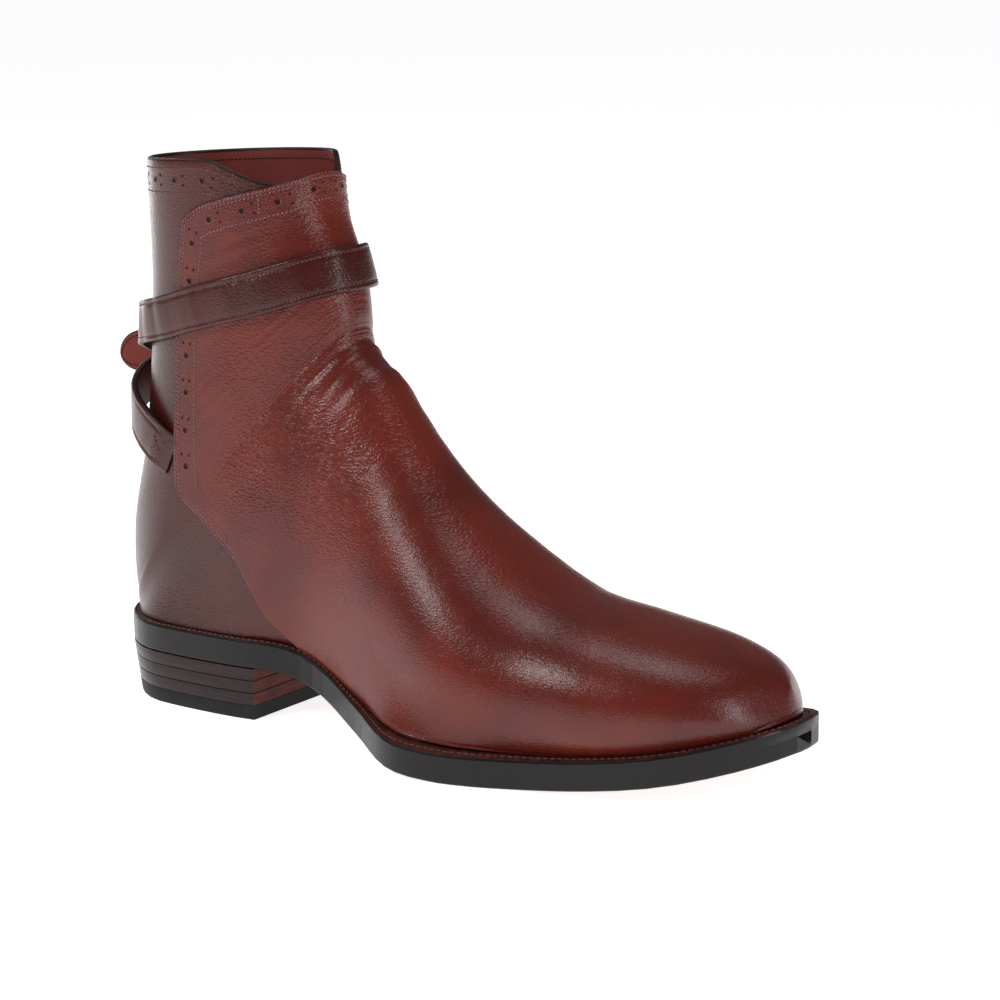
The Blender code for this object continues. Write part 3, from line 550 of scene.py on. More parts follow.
def grain_group() -> bpy.types.NodeTree:
    """Calf grain: fine pores everywhere and pebbled wrinkles on the shaft front and instep.

    Returns:
        Group that turns Scale and Wrinkle into Height and Mottle.
    """
    tree = bpy.data.node_groups.new("calf_grain", "ShaderNodeTree")
    for label in ("Scale", "Wrinkle"):
        socket = tree.interface.new_socket(name=label, in_out="INPUT", socket_type="NodeSocketFloat")
        socket.default_value = 1.0
    for label in ("Height", "Mottle"):
        tree.interface.new_socket(name=label, in_out="OUTPUT", socket_type="NodeSocketFloat")
    build = NodeBuilder(tree)
    inside, outside = build.add("NodeGroupInput"), build.add("NodeGroupOutput")
    coords = build.add("TexCoord").outputs["Object"]
    place = build.add("SeparateXYZ", in0=coords).outputs
    warp = build.add("TexNoise", Vector=coords, Scale=WARP_SCALE, Detail=3.0)
    mixed = build.add("Mix", data_type="VECTOR", in0=WARP_REACH, in4=coords, in5=warp.outputs["Color"])
    bent = mixed.outputs[1]
    pores = build.add("TexVoronoi", feature="DISTANCE_TO_EDGE", Vector=bent,
                      Scale=build.math("MULTIPLY", inside.outputs["Scale"], PORE_SCALE))
    fine = build.ramp(pores.outputs["Distance"], 0.0, 0.30)
    squeezed = build.add("Mapping", Vector=bent, Scale=(0.62, 0.62, 1.25)).outputs[0]
    lines = build.add("TexVoronoi", feature="DISTANCE_TO_EDGE", Vector=squeezed,
                      Scale=build.math("MULTIPLY", inside.outputs["Scale"], PEBBLE_SCALE))
    pebbles = build.ramp(lines.outputs["Distance"], 0.0, 0.34)
    patches = build.add("TexNoise", Vector=coords, Scale=PATCH_SCALE, Detail=3.0)
    high = build.ramp(place["Z"], 0.050, 0.095)
    zone = build.math("MULTIPLY", high, build.ramp(place["X"], 0.012, 0.042))
    zone = build.math("MULTIPLY", zone, build.ramp(patches.outputs["Fac"], 0.30, 0.56))
    zone = build.math("MAXIMUM", zone, CALM_GRAIN)
    strength = build.math("MULTIPLY", zone, inside.outputs["Wrinkle"])
    pores_height = build.math("MULTIPLY", fine, PORE_HEIGHT)
    height = build.math("ADD", pores_height, build.math("MULTIPLY", pebbles, strength))
    tree.links.new(height, outside.inputs["Height"])
    cloud = build.add("TexNoise", Vector=coords, Scale=DYE_SCALE, Detail=4.0, Roughness=0.55)
    tree.links.new(cloud.outputs["Fac"], outside.inputs["Mottle"])
    return tree


def streak_group() -> bpy.types.NodeTree:
    """Cloud of a dyed or worn face, with a matching height.

    Returns:
        Group that turns Stretch and Scale into Cloud and Height.
    """
    tree = bpy.data.node_groups.new("dye_cloud", "ShaderNodeTree")
    vector = tree.interface.new_socket(name="Stretch", in_out="INPUT", socket_type="NodeSocketVector")
    vector.default_value = (1.0, 1.0, 1.0)
    scale = tree.interface.new_socket(name="Scale", in_out="INPUT", socket_type="NodeSocketFloat")
    scale.default_value = 90.0
    for label in ("Cloud", "Height"):
        tree.interface.new_socket(name=label, in_out="OUTPUT", socket_type="NodeSocketFloat")
    build = NodeBuilder(tree)
    inside, outside = build.add("NodeGroupInput"), build.add("NodeGroupOutput")
    place = build.add("Mapping", Vector=build.add("TexCoord").outputs["Object"],
                      Scale=inside.outputs["Stretch"]).outputs[0]
    cloud = build.add("TexNoise", Vector=place, Scale=inside.outputs["Scale"], Detail=6.0,
                      Roughness=0.62)
    tree.links.new(build.ramp(cloud.outputs["Fac"], 0.36, 0.66), outside.inputs["Cloud"])
    tree.links.new(cloud.outputs["Fac"], outside.inputs["Height"])
    return tree


@dataclass(frozen=True)
class LeatherFinish:
    """A dyed and polished leather."""

    name: str
    base: tuple
    deep: tuple
    roughness: float = 0.34
    coat: float = 0.32
    shine: float = 0.22
    grain: float = 1.0
    wrinkle: float = 1.0
    bump: float = 0.42
    burnished: bool = False

    def make(self, groups: dict) -> bpy.types.Material:
        """Build the material.

        Args:
            groups: Shared node groups by name.

        Returns:
            The material.
        """
        material = bpy.data.materials.new(self.name)
        material.use_nodes = True
        tree = material.node_tree
        shader = tree.nodes["Principled BSDF"]
        build = NodeBuilder(tree)
        grain = tree.nodes.new("ShaderNodeGroup")
        grain.node_tree = groups["grain"]
        grain.inputs["Scale"].default_value = self.grain
        grain.inputs["Wrinkle"].default_value = self.wrinkle
        light = build.ramp(grain.outputs["Mottle"], 0.34, 0.62)
        tone = build.mix(light, (*self.deep, 1.0), (*self.base, 1.0))
        if self.burnished:
            place = build.add("SeparateXYZ", in0=build.add("TexCoord").outputs["Object"]).outputs
            rear = build.ramp(place["X"], 0.030, -0.040)
            toe = build.math("MULTIPLY", build.ramp(place["X"], 0.225, 0.252), 0.7)
            tone = build.mix(build.math("MAXIMUM", rear, toe), tone, (*self.deep, 1.0))
        tree.links.new(tone, shader.inputs["Base Color"])
        varied = build.math("MULTIPLY", grain.outputs["Mottle"], 0.14)
        rough = build.math("ADD", varied, self.roughness - 0.07)
        tree.links.new(rough, shader.inputs["Roughness"])
        height = grain.outputs["Height"]
        bump = build.add("Bump", Strength=self.bump, Distance=BUMP_DEPTH, Height=height)
        tree.links.new(bump.outputs[0], shader.inputs["Normal"])
        shader.inputs["Coat Weight"].default_value = self.coat
        shader.inputs["Coat Roughness"].default_value = 0.15
        tree.links.new(bump.outputs[0], shader.inputs["Coat Normal"])
        shader.inputs["Specular IOR Level"].default_value = self.shine
        return material


@dataclass(frozen=True)
class PlainFinish:
    """A finish without grain: edge dye, rubber, thread or metal."""

    name: str
    base: tuple
    deep: tuple
    roughness: float = 0.4
    metallic: float = 0.0
    coat: float = 0.0
    scale: float = 90.0
    bump: float = 0.15
    stretch: tuple = (1.0, 1.0, 1.0)
    shine: float = 0.20

    def make(self, groups: dict) -> bpy.types.Material:
        """Build the material.

        Args:
            groups: Shared node groups by name.

        Returns:
            The material.
        """
        material = bpy.data.materials.new(self.name)
        material.use_nodes = True
        tree = material.node_tree
        shader = tree.nodes["Principled BSDF"]
        build = NodeBuilder(tree)
        cloud = tree.nodes.new("ShaderNodeGroup")
        cloud.node_tree = groups["cloud"]
        cloud.inputs["Stretch"].default_value = self.stretch
        cloud.inputs["Scale"].default_value = self.scale
        tone = build.mix(cloud.outputs["Cloud"], (*self.deep, 1.0), (*self.base, 1.0))
        tree.links.new(tone, shader.inputs["Base Color"])
        height = cloud.outputs["Height"]
        rough = build.math("ADD", build.math("MULTIPLY", height, 0.2), self.roughness - 0.1)
        tree.links.new(rough, shader.inputs["Roughness"])
        bump = build.add("Bump", Strength=self.bump, Distance=BUMP_DEPTH, Height=height)
        tree.links.new(bump.outputs[0], shader.inputs["Normal"])
        shader.inputs["Metallic"].default_value = self.metallic
        shader.inputs["Specular IOR Level"].default_value = self.shine
        shader.inputs["Coat Weight"].default_value = self.coat
        return material


FINISHES = (
    LeatherFinish("quarter_leather", (0.074, 0.0085, 0.0052), (0.046, 0.0062, 0.0046),
            burnished=True, wrinkle=1.3),
    LeatherFinish("panel_leather", (0.138, 0.0150, 0.0072), (0.088, 0.0100, 0.0060),
            burnished=True),
    LeatherFinish("strap_leather", (0.056, 0.0060, 0.0043), (0.040, 0.0046, 0.0037),
            0.33, grain=1.1, wrinkle=0.8),
    LeatherFinish("lining_leather", (0.220, 0.040, 0.031), (0.170, 0.031, 0.025),
            0.60, 0.0, 0.2, bump=0.2),
    LeatherFinish("insole_leather", (0.240, 0.075, 0.045), (0.180, 0.055, 0.034),
            0.62, 0.0, 0.2, bump=0.2),
    PlainFinish("folded_edge", (0.030, 0.007, 0.006), (0.018, 0.005, 0.005), 0.42, scale=300.0),
    PlainFinish("edge_black", (0.008, 0.005, 0.006), (0.005, 0.004, 0.004),
        0.30, 0.0, 0.12, 150.0, 0.10, (1.0, 1.0, 5.0)),
    PlainFinish("welt_leather", (0.085, 0.018, 0.012), (0.030, 0.009, 0.008),
        0.5, scale=260.0, bump=0.4),
    PlainFinish("heel_stack", (0.008, 0.005, 0.006), (0.026, 0.006, 0.006),
        0.32, 0.0, 0.12, 45.0, 0.12, (1.0, 1.0, 16.0)),
    PlainFinish("breast_leather", (0.120, 0.026, 0.015), (0.060, 0.013, 0.009),
        0.5, scale=120.0, stretch=(1.0, 1.0, 6.0)),
    PlainFinish("sole_leather", (0.150, 0.042, 0.022), (0.095, 0.026, 0.015), 0.42, scale=45.0),
    PlainFinish("top_rubber", (0.012, 0.012, 0.013), (0.008, 0.008, 0.009), 0.55, scale=400.0),
    PlainFinish("pale_thread", (0.260, 0.150, 0.165), (0.160, 0.085, 0.095), 0.6, scale=900.0),
    PlainFinish("red_thread", (0.170, 0.080, 0.078), (0.095, 0.042, 0.040), 0.6, scale=900.0),
    PlainFinish("dark_thread", (0.022, 0.008, 0.009), (0.012, 0.005, 0.006), 0.6, scale=900.0),
    PlainFinish("hole_shadow", (0.018, 0.005, 0.0045), (0.010, 0.004, 0.004), 0.8, scale=500.0),
    PlainFinish("buckle_brass", (0.62, 0.42, 0.17), (0.50, 0.32, 0.12),
        0.26, 1.0, scale=300.0, bump=0.05),
)


def make_finishes() -> dict:
    """Make every finish of the boot, by its name."""
    groups = {"grain": grain_group(), "cloud": streak_group()}
    return {finish.name: finish.make(groups) for finish in FINISHES}


# Upper


@dataclass(frozen=True)
class Crease:
    """A soft trough across the upper, with a low ridge beside it."""

    turn: float
    bend: float
    width: float
    depth: float
    start: float
    end: float

    def depth_at(self, turn: np.ndarray, around: np.ndarray) -> np.ndarray:
        """Depth of the trough, negative on its ridge.

        Args:
            turn: Sections of the fan.
            around: Places in the sections.

        Returns:
            Depths into the leather.
        """
        away = (turn - self.turn - self.bend * around * around) / self.width
        along = smooth_step((around - self.start) / 0.12) * smooth_step((self.end - around) / 0.12)
        return self.depth * along * (np.exp(-away * away) - 0.5 * np.exp(-((away + 1.8) ** 2) / 1.4))


# The ankle crease, the instep and flank wrinkles, the vamp's flex lines and the shaft's fold
CREASES = (
    Crease(25.4, 5.0, 0.52, 0.00080, -0.26, 0.26),
    Crease(23.9, -3.0, 0.40, 0.00024, -0.22, 0.20),
    Crease(22.2, 4.0, 0.34, 0.00015, -0.26, 0.20),
    Crease(21.0, 5.0, 0.30, 0.00013, -0.24, 0.18),
    Crease(19.9, 4.0, 0.28, 0.00011, -0.22, 0.20),
    Crease(18.6, 3.5, 0.28, 0.00009, -0.20, 0.18),
    Crease(17.3, 3.0, 0.60, 0.00022, -0.80, -0.40),
    Crease(12.8, 2.5, 0.34, 0.00010, -0.36, 0.34),
    Crease(11.2, 2.0, 0.32, 0.00008, -0.30, 0.38),
    Crease(28.2, 2.0, 0.50, 0.00018, -0.40, 0.40),
)

# Fine ripples of the leather: turns per wave, places around per wave, and phase
RIPPLE_DEPTH = 0.000018
RIPPLES = ((6.3, 9.0, 0.3), (8.4, -14.0, 1.7), (5.1, 23.0, 2.9), (7.4, 4.0, 4.2))


def crease_depth(turn: np.ndarray, around: np.ndarray) -> np.ndarray:
    """Depth of all creases and ripples together.

    Args:
        turn: Sections of the fan.
        around: Places in the sections.

    Returns:
        Depths into the leather.
    """
    depth = sum(crease.depth_at(turn, around) for crease in CREASES)
    sway = 1.2 * np.sin(6.0 * around + turn)
    wave = sum(np.sin(a * turn + b * around + c + sway) for a, b, c in RIPPLES)
    ankle = smooth_step((turn - 15.5) / 3.0) * smooth_step((43.0 - turn) / 4.0)
    return depth + RIPPLE_DEPTH * wave * ankle * smooth_step((0.62 - np.abs(around)) / 0.2)


BISECTIONS = 20


@dataclass
class Upper:
    """The quarters' shell with its lining, and the front panel laid over it."""

    last: Last
    outline: PanelOutline
    finishes: dict
    wall: float = 0.0024
    panel_gap: float = 0.00035
    panel_thickness: float = 0.0013
    rows: int = 150
    half_columns: int = 72
    panel_rows: int = 300
    panel_half_columns: int = 68
    flap_turns: float = 1.75
    outer_dip: float = 0.036
    inner_dip: float = 0.010
    trim_turn: float = 39.0
    edge_round: float = 0.0009
    edge_share: float = 0.30
    groove_inset: float = 0.0018
    groove_width: float = 0.0006
    groove_depth: float = 0.00016
    crease_fade: float = 0.012
    collar_probe: float = 0.5

    def collar_turn(self, around: np.ndarray) -> np.ndarray:
        """Turn of the quarters' top edge, lower at the front.

        Args:
            around: Places in the section.

        Returns:
            Sections of the fan.
        """
        x = self.last.point(self.last.collar_top, around)[..., 0]
        reach = np.where(np.asarray(around) < 0.0, self.outer_dip, self.inner_dip)
        front = self.last.x_at(self.last.shaft_fan[-1][3])
        return self.last.collar_top - self.flap_turns * smooth_step((x - front + reach) / reach)

    def above_hem(self, points: np.ndarray) -> np.ndarray:
        """Raise points that lie below the hem to the hem.

        Args:
            points: Points, changed in place.

        Returns:
            The same points.
        """
        hem = self.last.welt_top(self.last.station_at(points[..., 0])) + self.last.gap
        points[..., 2] = np.maximum(points[..., 2], hem)
        return points

    def build_shell(self) -> bpy.types.Object:
        """Build the quarters, lined inside and open at both ends.

        Returns:
            The new object.
        """
        around = np.linspace(-1.0, 1.0, self.half_columns * 2 + 1)
        turn = self.last.collar_top * np.linspace(0.0, 1.0, self.rows)[:, None] ** 0.92
        ease = np.clip((turn - self.trim_turn) / (self.last.collar_top - self.trim_turn), 0.0, 1.0)
        turn = turn - (self.last.collar_top - self.collar_turn(around)[None]) * ease
        outer = self.last.point(turn, around[None])
        normal = self.last.normal(turn, around[None])
        inner = outer - normal * self.wall
        split = np.linalg.norm(outer[:, 0] - outer[:, -1], axis=1) > 1e-6
        inner[0] = (inner[0] + inner[0][::-1]) / 2.0
        seam = (inner[~split, 0] + inner[~split, -1]) / 2.0
        inner[~split, 0], inner[~split, -1] = seam, seam
        upwards = unit(outer[-1] - outer[-2])
        middle = (outer[-1] + inner[-1]) / 2.0
        half = (outer[-1] - inner[-1]) / 2.0
        angles = np.radians([35.0, 90.0, 145.0])
        rim = [middle + half * math.cos(a) + upwards * self.wall / 2.0 * math.sin(a) for a in angles]
        grid = np.concatenate([self.above_hem(outer), np.array(rim), self.above_hem(inner)[::-1]])
        total, count = grid.shape[:2]
        faces = quad_grid(total, count).tolist()
        band = np.repeat(np.arange(total - 1), count - 1)
        slots = np.where(band < self.rows - 1, 0, np.where(band < self.rows + len(rim), 2, 1)).tolist()
        for row in range(self.rows - 1):
            if split[row] or split[row + 1]:
                for end in (0, count - 1):
                    a, b = row * count + end, (row + 1) * count + end
                    c, d = (total - 2 - row) * count + end, (total - 1 - row) * count + end
                    faces.append((a, b, c, d))
                    slots.append(1)
        made = [self.finishes[name] for name in ("quarter_leather", "lining_leather", "folded_edge")]
        return finish_piece(add_mesh("quarters", grid, faces, made, slots), "upper", "upper")

    def limit(self, turn: np.ndarray, spread: np.ndarray) -> np.ndarray:
        """How far up each section the panel's rear edge or hem lies.

        Args:
            turn: Sections of the fan.
            spread: Places across the panel, whose sign names the side.

        Returns:
            Shares of the section below the panel's edge.
        """
        side = np.where(spread > 0.0, 1.0, -1.0)
        low, high = np.zeros(turn.shape), np.ones(turn.shape)
        for _ in range(BISECTIONS):
            middle = (low + high) / 2.0
            point = self.last.point(turn, side * (1.0 - middle))
            hem = self.last.welt_top(self.last.station_at(point[..., 0])) + self.outline.hem_lift
            out = (point[..., 0] < self.outline.rear_x(point[..., 2])) | (point[..., 2] < hem)
            low, high = np.where(out, middle, low), np.where(out, high, middle)
        return high

    def panel_fields(self) -> tuple:
        """Turn and place around of the panel's grid, fitted to its outline.

        Returns:
            Sections, and places in the sections.
        """
        spread = np.linspace(-1.0, 1.0, self.panel_half_columns * 2 + 1)
        spread = np.sign(spread) * (1.0 - (1.0 - np.abs(spread)) ** 1.35)
        share = 1.0 - (1.0 - np.linspace(0.0, 1.0, self.panel_rows)) ** 1.4
        low = np.full(spread.shape, self.last.heel_turn)
        high = np.full(spread.shape, self.last.collar_top)
        for _ in range(BISECTIONS):
            middle = (low + high) / 2.0
            point = self.last.point(middle, spread * (1.0 - self.limit(middle, spread)))
            under = point[..., 2] < self.outline.top_z(point[..., 0])
            low, high = np.where(under, middle, low), np.where(under, high, middle)
        turn = share[:, None] * low[None, :]
        spread = np.broadcast_to(spread[None, :], turn.shape)
        return turn, spread * (1.0 - self.limit(turn, spread))

    def edge_distance(self, base: np.ndarray) -> np.ndarray:
        """Distance along the panel to its nearest side or top edge.

        Args:
            base: Grid of points.

        Returns:
            Distances for each point.
        """
        across = np.linalg.norm(np.diff(base, axis=1), axis=2)
        left = np.pad(np.cumsum(across, axis=1), ((0, 0), (1, 0)))
        side = np.minimum(left, left[:, -1:] - left)
        along = np.linalg.norm(np.diff(base, axis=0), axis=2)
        down = np.pad(np.cumsum(along, axis=0), ((1, 0), (0, 0)))
        return np.minimum(side, down[-1:] - down)

    def build_panel(self) -> bpy.types.Object:
        """Build the front panel with its folded edges and soft creases.

        Returns:
            The new object.
        """
        turn, around = self.panel_fields()
        base = self.last.point(turn, around)
        normal = self.last.normal(turn, around)
        edge = self.edge_distance(base)
        short = 1.0 - np.clip(edge / self.edge_round, 0.0, 1.0)
        rounded = self.edge_share + (1.0 - self.edge_share) * np.sqrt(1.0 - short * short)
        groove = self.groove_depth * np.exp(-(((edge - self.groove_inset) / self.groove_width) ** 2))
        depth = crease_depth(turn, around) * np.clip(edge / self.crease_fade, 0.0, 1.0) + groove
        lift = self.panel_gap + self.panel_thickness * rounded - depth
        outer = base + normal * lift[..., None]
        inner = base + normal * (self.panel_gap * 0.6)
        outer[0] = (outer[0] + outer[0][::-1]) / 2.0
        inner[0] = (inner[0] + inner[0][::-1]) / 2.0
        rows, columns = turn.shape
        top = quad_grid(rows, columns)
        offset = rows * columns
        loop = [i * columns for i in range(rows)]
        loop += [(rows - 1) * columns + j for j in range(1, columns)]
        loop += [i * columns + columns - 1 for i in range(rows - 2, -1, -1)]
        sides = [(a, b, b + offset, a + offset) for a, b in zip(loop, loop[1:])]
        faces = top.tolist() + (top[:, ::-1] + offset).tolist() + sides
        slots = [0] * len(top) + [1] * (len(top) + len(sides))
        made = [self.finishes["panel_leather"], self.finishes["folded_edge"]]
        both = np.concatenate([outer, inner])
        panel = add_mesh("vamp_and_shaft_front", both, faces, made, slots, 60.0)
        return finish_piece(panel, "front_panel", "front_panel")

    def collar_trail(self, drop: float, start: float, end: float, inside: bool = False) -> "Trail":
        """Trail a little below the quarters' top edge.

        Args:
            drop: Distance below the edge.
            start: First place around.
            end: Last place around.
            inside: Whether the trail lies on the lining.

        Returns:
            The trail.
        """
        around = np.linspace(start, end, 240)
        top = self.collar_turn(around)
        below = self.last.point(top - self.collar_probe, around)
        climb = np.linalg.norm(self.last.point(top, around) - below, axis=1) / self.collar_probe
        turn = top - drop / climb
        points, normals = self.last.point(turn, around), self.last.normal(turn, around)
        if inside:
            return Trail(points - normals * self.wall, -normals)
        keep = ~self.outline.covers(points, 0.0006)
        return Trail(points[keep], normals[keep])


# Stitches and punched holes


@dataclass
class Trail:
    """Points along a surface with their outward normals."""

    points: np.ndarray
    normals: np.ndarray

    def resampled(self, pitch: float) -> "Trail":
        """The same trail with points an even pitch apart.

        Args:
            pitch: Distance between points.

        Returns:
            The new trail.
        """
        steps = np.linalg.norm(np.diff(self.points, axis=0), axis=1)
        arc = np.concatenate([[0.0], np.cumsum(steps)])
        places = np.linspace(0.0, arc[-1], max(2, int(round(arc[-1] / pitch)) + 1))
        points = np.stack([np.interp(places, arc, self.points[:, i]) for i in range(3)], axis=1)
        normals = np.stack([np.interp(places, arc, self.normals[:, i]) for i in range(3)], axis=1)
        return Trail(points, unit(normals))

    def tangents(self) -> np.ndarray:
        """Directions along the trail."""
        return unit(np.gradient(self.points, axis=0))


@dataclass
class Needlework:
    """Lays stitches and punched holes along trails."""

    finishes: dict
    stitch_length: float = 0.0016
    stitch_width: float = 0.00055
    pitch: float = 0.0020
    stitch_rise: float = 0.00006
    hole_sides: int = 14
    hole_radius: float = 0.00105
    pair_radius: float = 0.00050
    first_hole: float = 0.002
    hole_step: float = 0.0004
    hole_rings: tuple = ((1.50, -0.00006), (1.22, 0.00014), (1.00, 0.00011), (0.84, 0.00003))
    hole_pitch: float = 0.0146
    pair_offset: float = 0.0048
    pair_spread: float = 0.0018

    def stitch_shape(self) -> tuple:
        """Model one stitch: a small ball drawn out along X.

        Returns:
            Corner points, and faces.
        """
        bpy.ops.object.select_all(action="DESELECT")
        bpy.ops.mesh.primitive_uv_sphere_add(segments=6, ring_count=5, radius=0.5)
        ball = bpy.context.object
        points = np.array([vertex.co for vertex in ball.data.vertices])[:, [2, 1, 0]]
        faces = [tuple(reversed(face.vertices[:])) for face in ball.data.polygons]
        bpy.data.objects.remove(ball, do_unlink=True)
        return points, faces

    def sew(
        self, name: str, trails: list, thread: str, slot: str, scale: float = 1.0, tilt: float = 0.0,
    ) -> bpy.types.Object:
        """Lay stitches along trails as one piece.

        Args:
            name: Name of the piece.
            trails: Trails to follow.
            thread: Name of the thread's finish.
            slot: Material slot of what is sewn.
            scale: Size of the stitches.
            tilt: Turn of each stitch across the seam.

        Returns:
            The new object.
        """
        shape, shape_faces = self.stitch_shape()
        size = np.array([self.stitch_length, self.stitch_width, self.stitch_width]) * scale
        points, faces = [], []
        for trail in trails:
            line = trail.resampled(self.pitch * scale)
            for point, normal, forward in zip(line.points, line.normals, line.tangents()):
                forward = unit(forward + np.cross(normal, forward) * tilt)
                aside = np.cross(normal, forward)
                local = shape * size
                base = len(points) * len(shape)
                points.append(point + local[:, :1] * forward + local[:, 1:2] * aside
                              + (local[:, 2:3] + self.stitch_rise) * normal)
                faces.extend(tuple(base + i for i in face) for face in shape_faces)
        piece = add_mesh(name, np.concatenate(points), faces, [self.finishes[thread]], angle=80.0)
        return finish_piece(piece, slot)

    def pattern(self, trail: Trail) -> list:
        """Large hole and then a pair of small ones, repeated along a trail.

        Args:
            trail: Middle line of the holes.

        Returns:
            Point, normal and radius of each hole.
        """
        line = trail.resampled(self.hole_step)
        along = line.tangents()
        arc = np.concatenate([[0.0], np.cumsum(np.linalg.norm(np.diff(line.points, axis=0), axis=1))])
        holes = []
        for start in np.arange(self.first_hole, arc[-1] - self.pair_offset, self.hole_pitch):
            k = int(np.searchsorted(arc, start))
            holes.append((line.points[k], line.normals[k], self.hole_radius))
            k = int(np.searchsorted(arc, start + self.pair_offset))
            aside = np.cross(line.normals[k], along[k])
            for side in (-1.0, 1.0):
                spot = line.points[k] + aside * side * self.pair_spread
                holes.append((spot, line.normals[k], self.pair_radius))
        return holes

    def punch(self, name: str, holes: list, leather: str, slot: str) -> bpy.types.Object:
        """Set punched holes: a raised lip round a dark floor.

        Args:
            name: Name of the piece.
            holes: Rows of point, normal and radius.
            leather: Name of the lip's finish.
            slot: Material slot of the punched leather.

        Returns:
            The new object.
        """
        points, faces, slots = [], [], []
        sides, rings = self.hole_sides, len(self.hole_rings)
        for point, normal, radius in holes:
            seed = np.array([0.0, 0.0, 1.0]) if abs(normal[2]) < 0.9 else np.array([1.0, 0.0, 0.0])
            a = unit(np.cross(seed, normal))
            b = np.cross(normal, a)
            base = len(points)
            for share, height in self.hole_rings:
                for t in np.arange(sides) * 2.0 * math.pi / sides:
                    ring = radius * share * (math.cos(t) * a + math.sin(t) * b)
                    points.append(point + ring + normal * height)
            quads = quad_grid(rings, sides, closed=True) + base
            faces += quads.tolist()
            slots += [0 if k < 2 * sides else 1 for k in range(len(quads))]
            faces.append([base + (rings - 1) * sides + k for k in range(sides)])
            faces.append([base + k for k in reversed(range(sides))])
            slots += [1, 1]
        made = [self.finishes[leather], self.finishes["hole_shadow"]]
        return finish_piece(add_mesh(name, np.array(points), faces, made, slots, 50.0), slot)


@dataclass
class Surface:
    """Search tree over a piece, to lay trails on it."""

    last: Last
    tree: BVHTree

    @classmethod
    def of(cls, last: Last, piece: bpy.types.Object) -> "Surface":
        """Make the tree from a piece.

        Args:
            last: Last of the boot.
            piece: Piece to search.

        Returns:
            The new surface.
        """
        points = [vertex.co.copy() for vertex in piece.data.vertices]
        faces = [tuple(face.vertices) for face in piece.data.polygons]
        return cls(last, BVHTree.FromPolygons(points, faces))

    def from_side(self, x: float, z: float, side: Side) -> tuple:
        """Point and normal where a level ray from the side meets the piece.

        Args:
            x: Place along the boot.
            z: Height.
            side: Side that the ray comes from.

        Returns:
            Point and normal, or None twice.
        """
        start = Vector((x, side.value * 0.2, z))
        return self.tree.ray_cast(start, Vector((0.0, -side.value, 0.0)))[:2]

    def from_round(self, angle: float, z: float) -> tuple:
        """Point and normal at an angle round the shaft, met from outside.

        Args:
            angle: Degrees from the back, towards the outer side.
            z: Height.

        Returns:
            Point and normal, or None twice.
        """
        turn = math.radians(angle)
        away = Vector((-math.cos(turn), -math.sin(turn), 0.0))
        start = Vector((float(self.last.x_at(self.last.axis_station)), 0.0, z)) + away * 0.12
        return self.tree.ray_cast(start, -away)[:2]

    def trail(self, hits: list) -> Trail:
        """Trail through the points that were hit."""
        hits = [hit for hit in hits if hit[0] is not None]
        return Trail(np.array([hit[0] for hit in hits]), np.array([hit[1] for hit in hits]))


@dataclass
class Broguing:
    """Seams and punched holes of the front panel and of the quarters' top band."""

    upper: Upper
    surface: Surface
    work: Needlework
    sole_height: float = 0.036
    bend_height: float = 0.094
    flat_end: float = 0.030
    front_angle: float = 178.0
    edge_insets: tuple = (0.0011, 0.0025)
    hole_inset: float = 0.0066
    band_inset: float = 0.0112
    band_start: float = 0.088
    cross_drops: tuple = (0.0026, 0.0056, 0.0088)
    collar_drops: tuple = (0.0026, 0.0118)
    collar_hole_drop: float = 0.0072
    lining_drops: tuple = (0.0030, 0.0140)

    def edge_trail(self, inset: float, low: float, side: Side) -> Trail:
        """Trail inside the panel's rear and top edge, from a height to the front.

        Args:
            inset: Distance from the edge.
            low: Height at which the trail starts.
            side: Side of the boot.

        Returns:
            The trail.
        """
        outline = self.upper.outline
        line = outline.inset_line(inset, low, self.flat_end)
        hits = [self.surface.from_side(x, z, side) for x, z in line]
        spot = [hit[0] for hit in hits if hit[0] is not None][-1]
        axis = float(self.upper.last.x_at(self.upper.last.axis_station))
        start = math.degrees(math.atan2(abs(spot.y), axis - spot.x))
        z = spot.z
        for angle in np.linspace(start, self.front_angle, 90)[1:]:
            turned = angle if side is Side.OUTER else -angle
            for _ in range(3):
                spot = self.surface.from_round(turned, z)[0]
                z = float(outline.top_z(spot.x)) - inset if spot is not None else z
            hits.append(self.surface.from_round(turned, z))
        return self.surface.trail(hits)

    def cross_seam(self, side: Side, x: float = 0.0444) -> Trail:
        """Short seam across the brogued band."""
        top = float(self.upper.outline.top_z(x))
        hits = [self.surface.from_side(x, top - drop, side) for drop in self.cross_drops]
        return self.surface.trail(hits)

    def build(self) -> None:
        """Sew and punch the panel and the quarters."""
        edges, inner, holes = [], [], []
        for side in Side:
            edges += [self.edge_trail(inset, self.sole_height, side) for inset in self.edge_insets]
            inner += [self.edge_trail(self.band_inset, self.band_start, side), self.cross_seam(side)]
            holes += self.work.pattern(self.edge_trail(self.hole_inset, self.bend_height, side))
        self.work.sew("panel_edge_stitching", edges, "pale_thread", "front_panel", 0.85, 0.45)
        self.work.sew("panel_inner_stitching", inner, "pale_thread", "front_panel", 0.85, 0.30)
        self.work.punch("panel_broguing", holes, "panel_leather", "front_panel")
        trails = [self.upper.collar_trail(drop, -0.995, 0.995) for drop in self.collar_drops]
        self.work.sew("quarter_stitching", trails, "red_thread", "upper", 0.85, 0.25)
        holes = self.work.pattern(self.upper.collar_trail(self.collar_hole_drop, -0.99, -0.16))
        holes += self.work.pattern(self.upper.collar_trail(self.collar_hole_drop, 0.99, 0.10))
        self.work.punch("quarter_broguing", holes, "quarter_leather", "upper")
        lining = [self.upper.collar_trail(drop, -0.98, 0.98, inside=True) for drop in self.lining_drops]
        self.work.sew("lining_stitching", lining, "dark_thread", "upper", 0.9)


# Straps and buckle


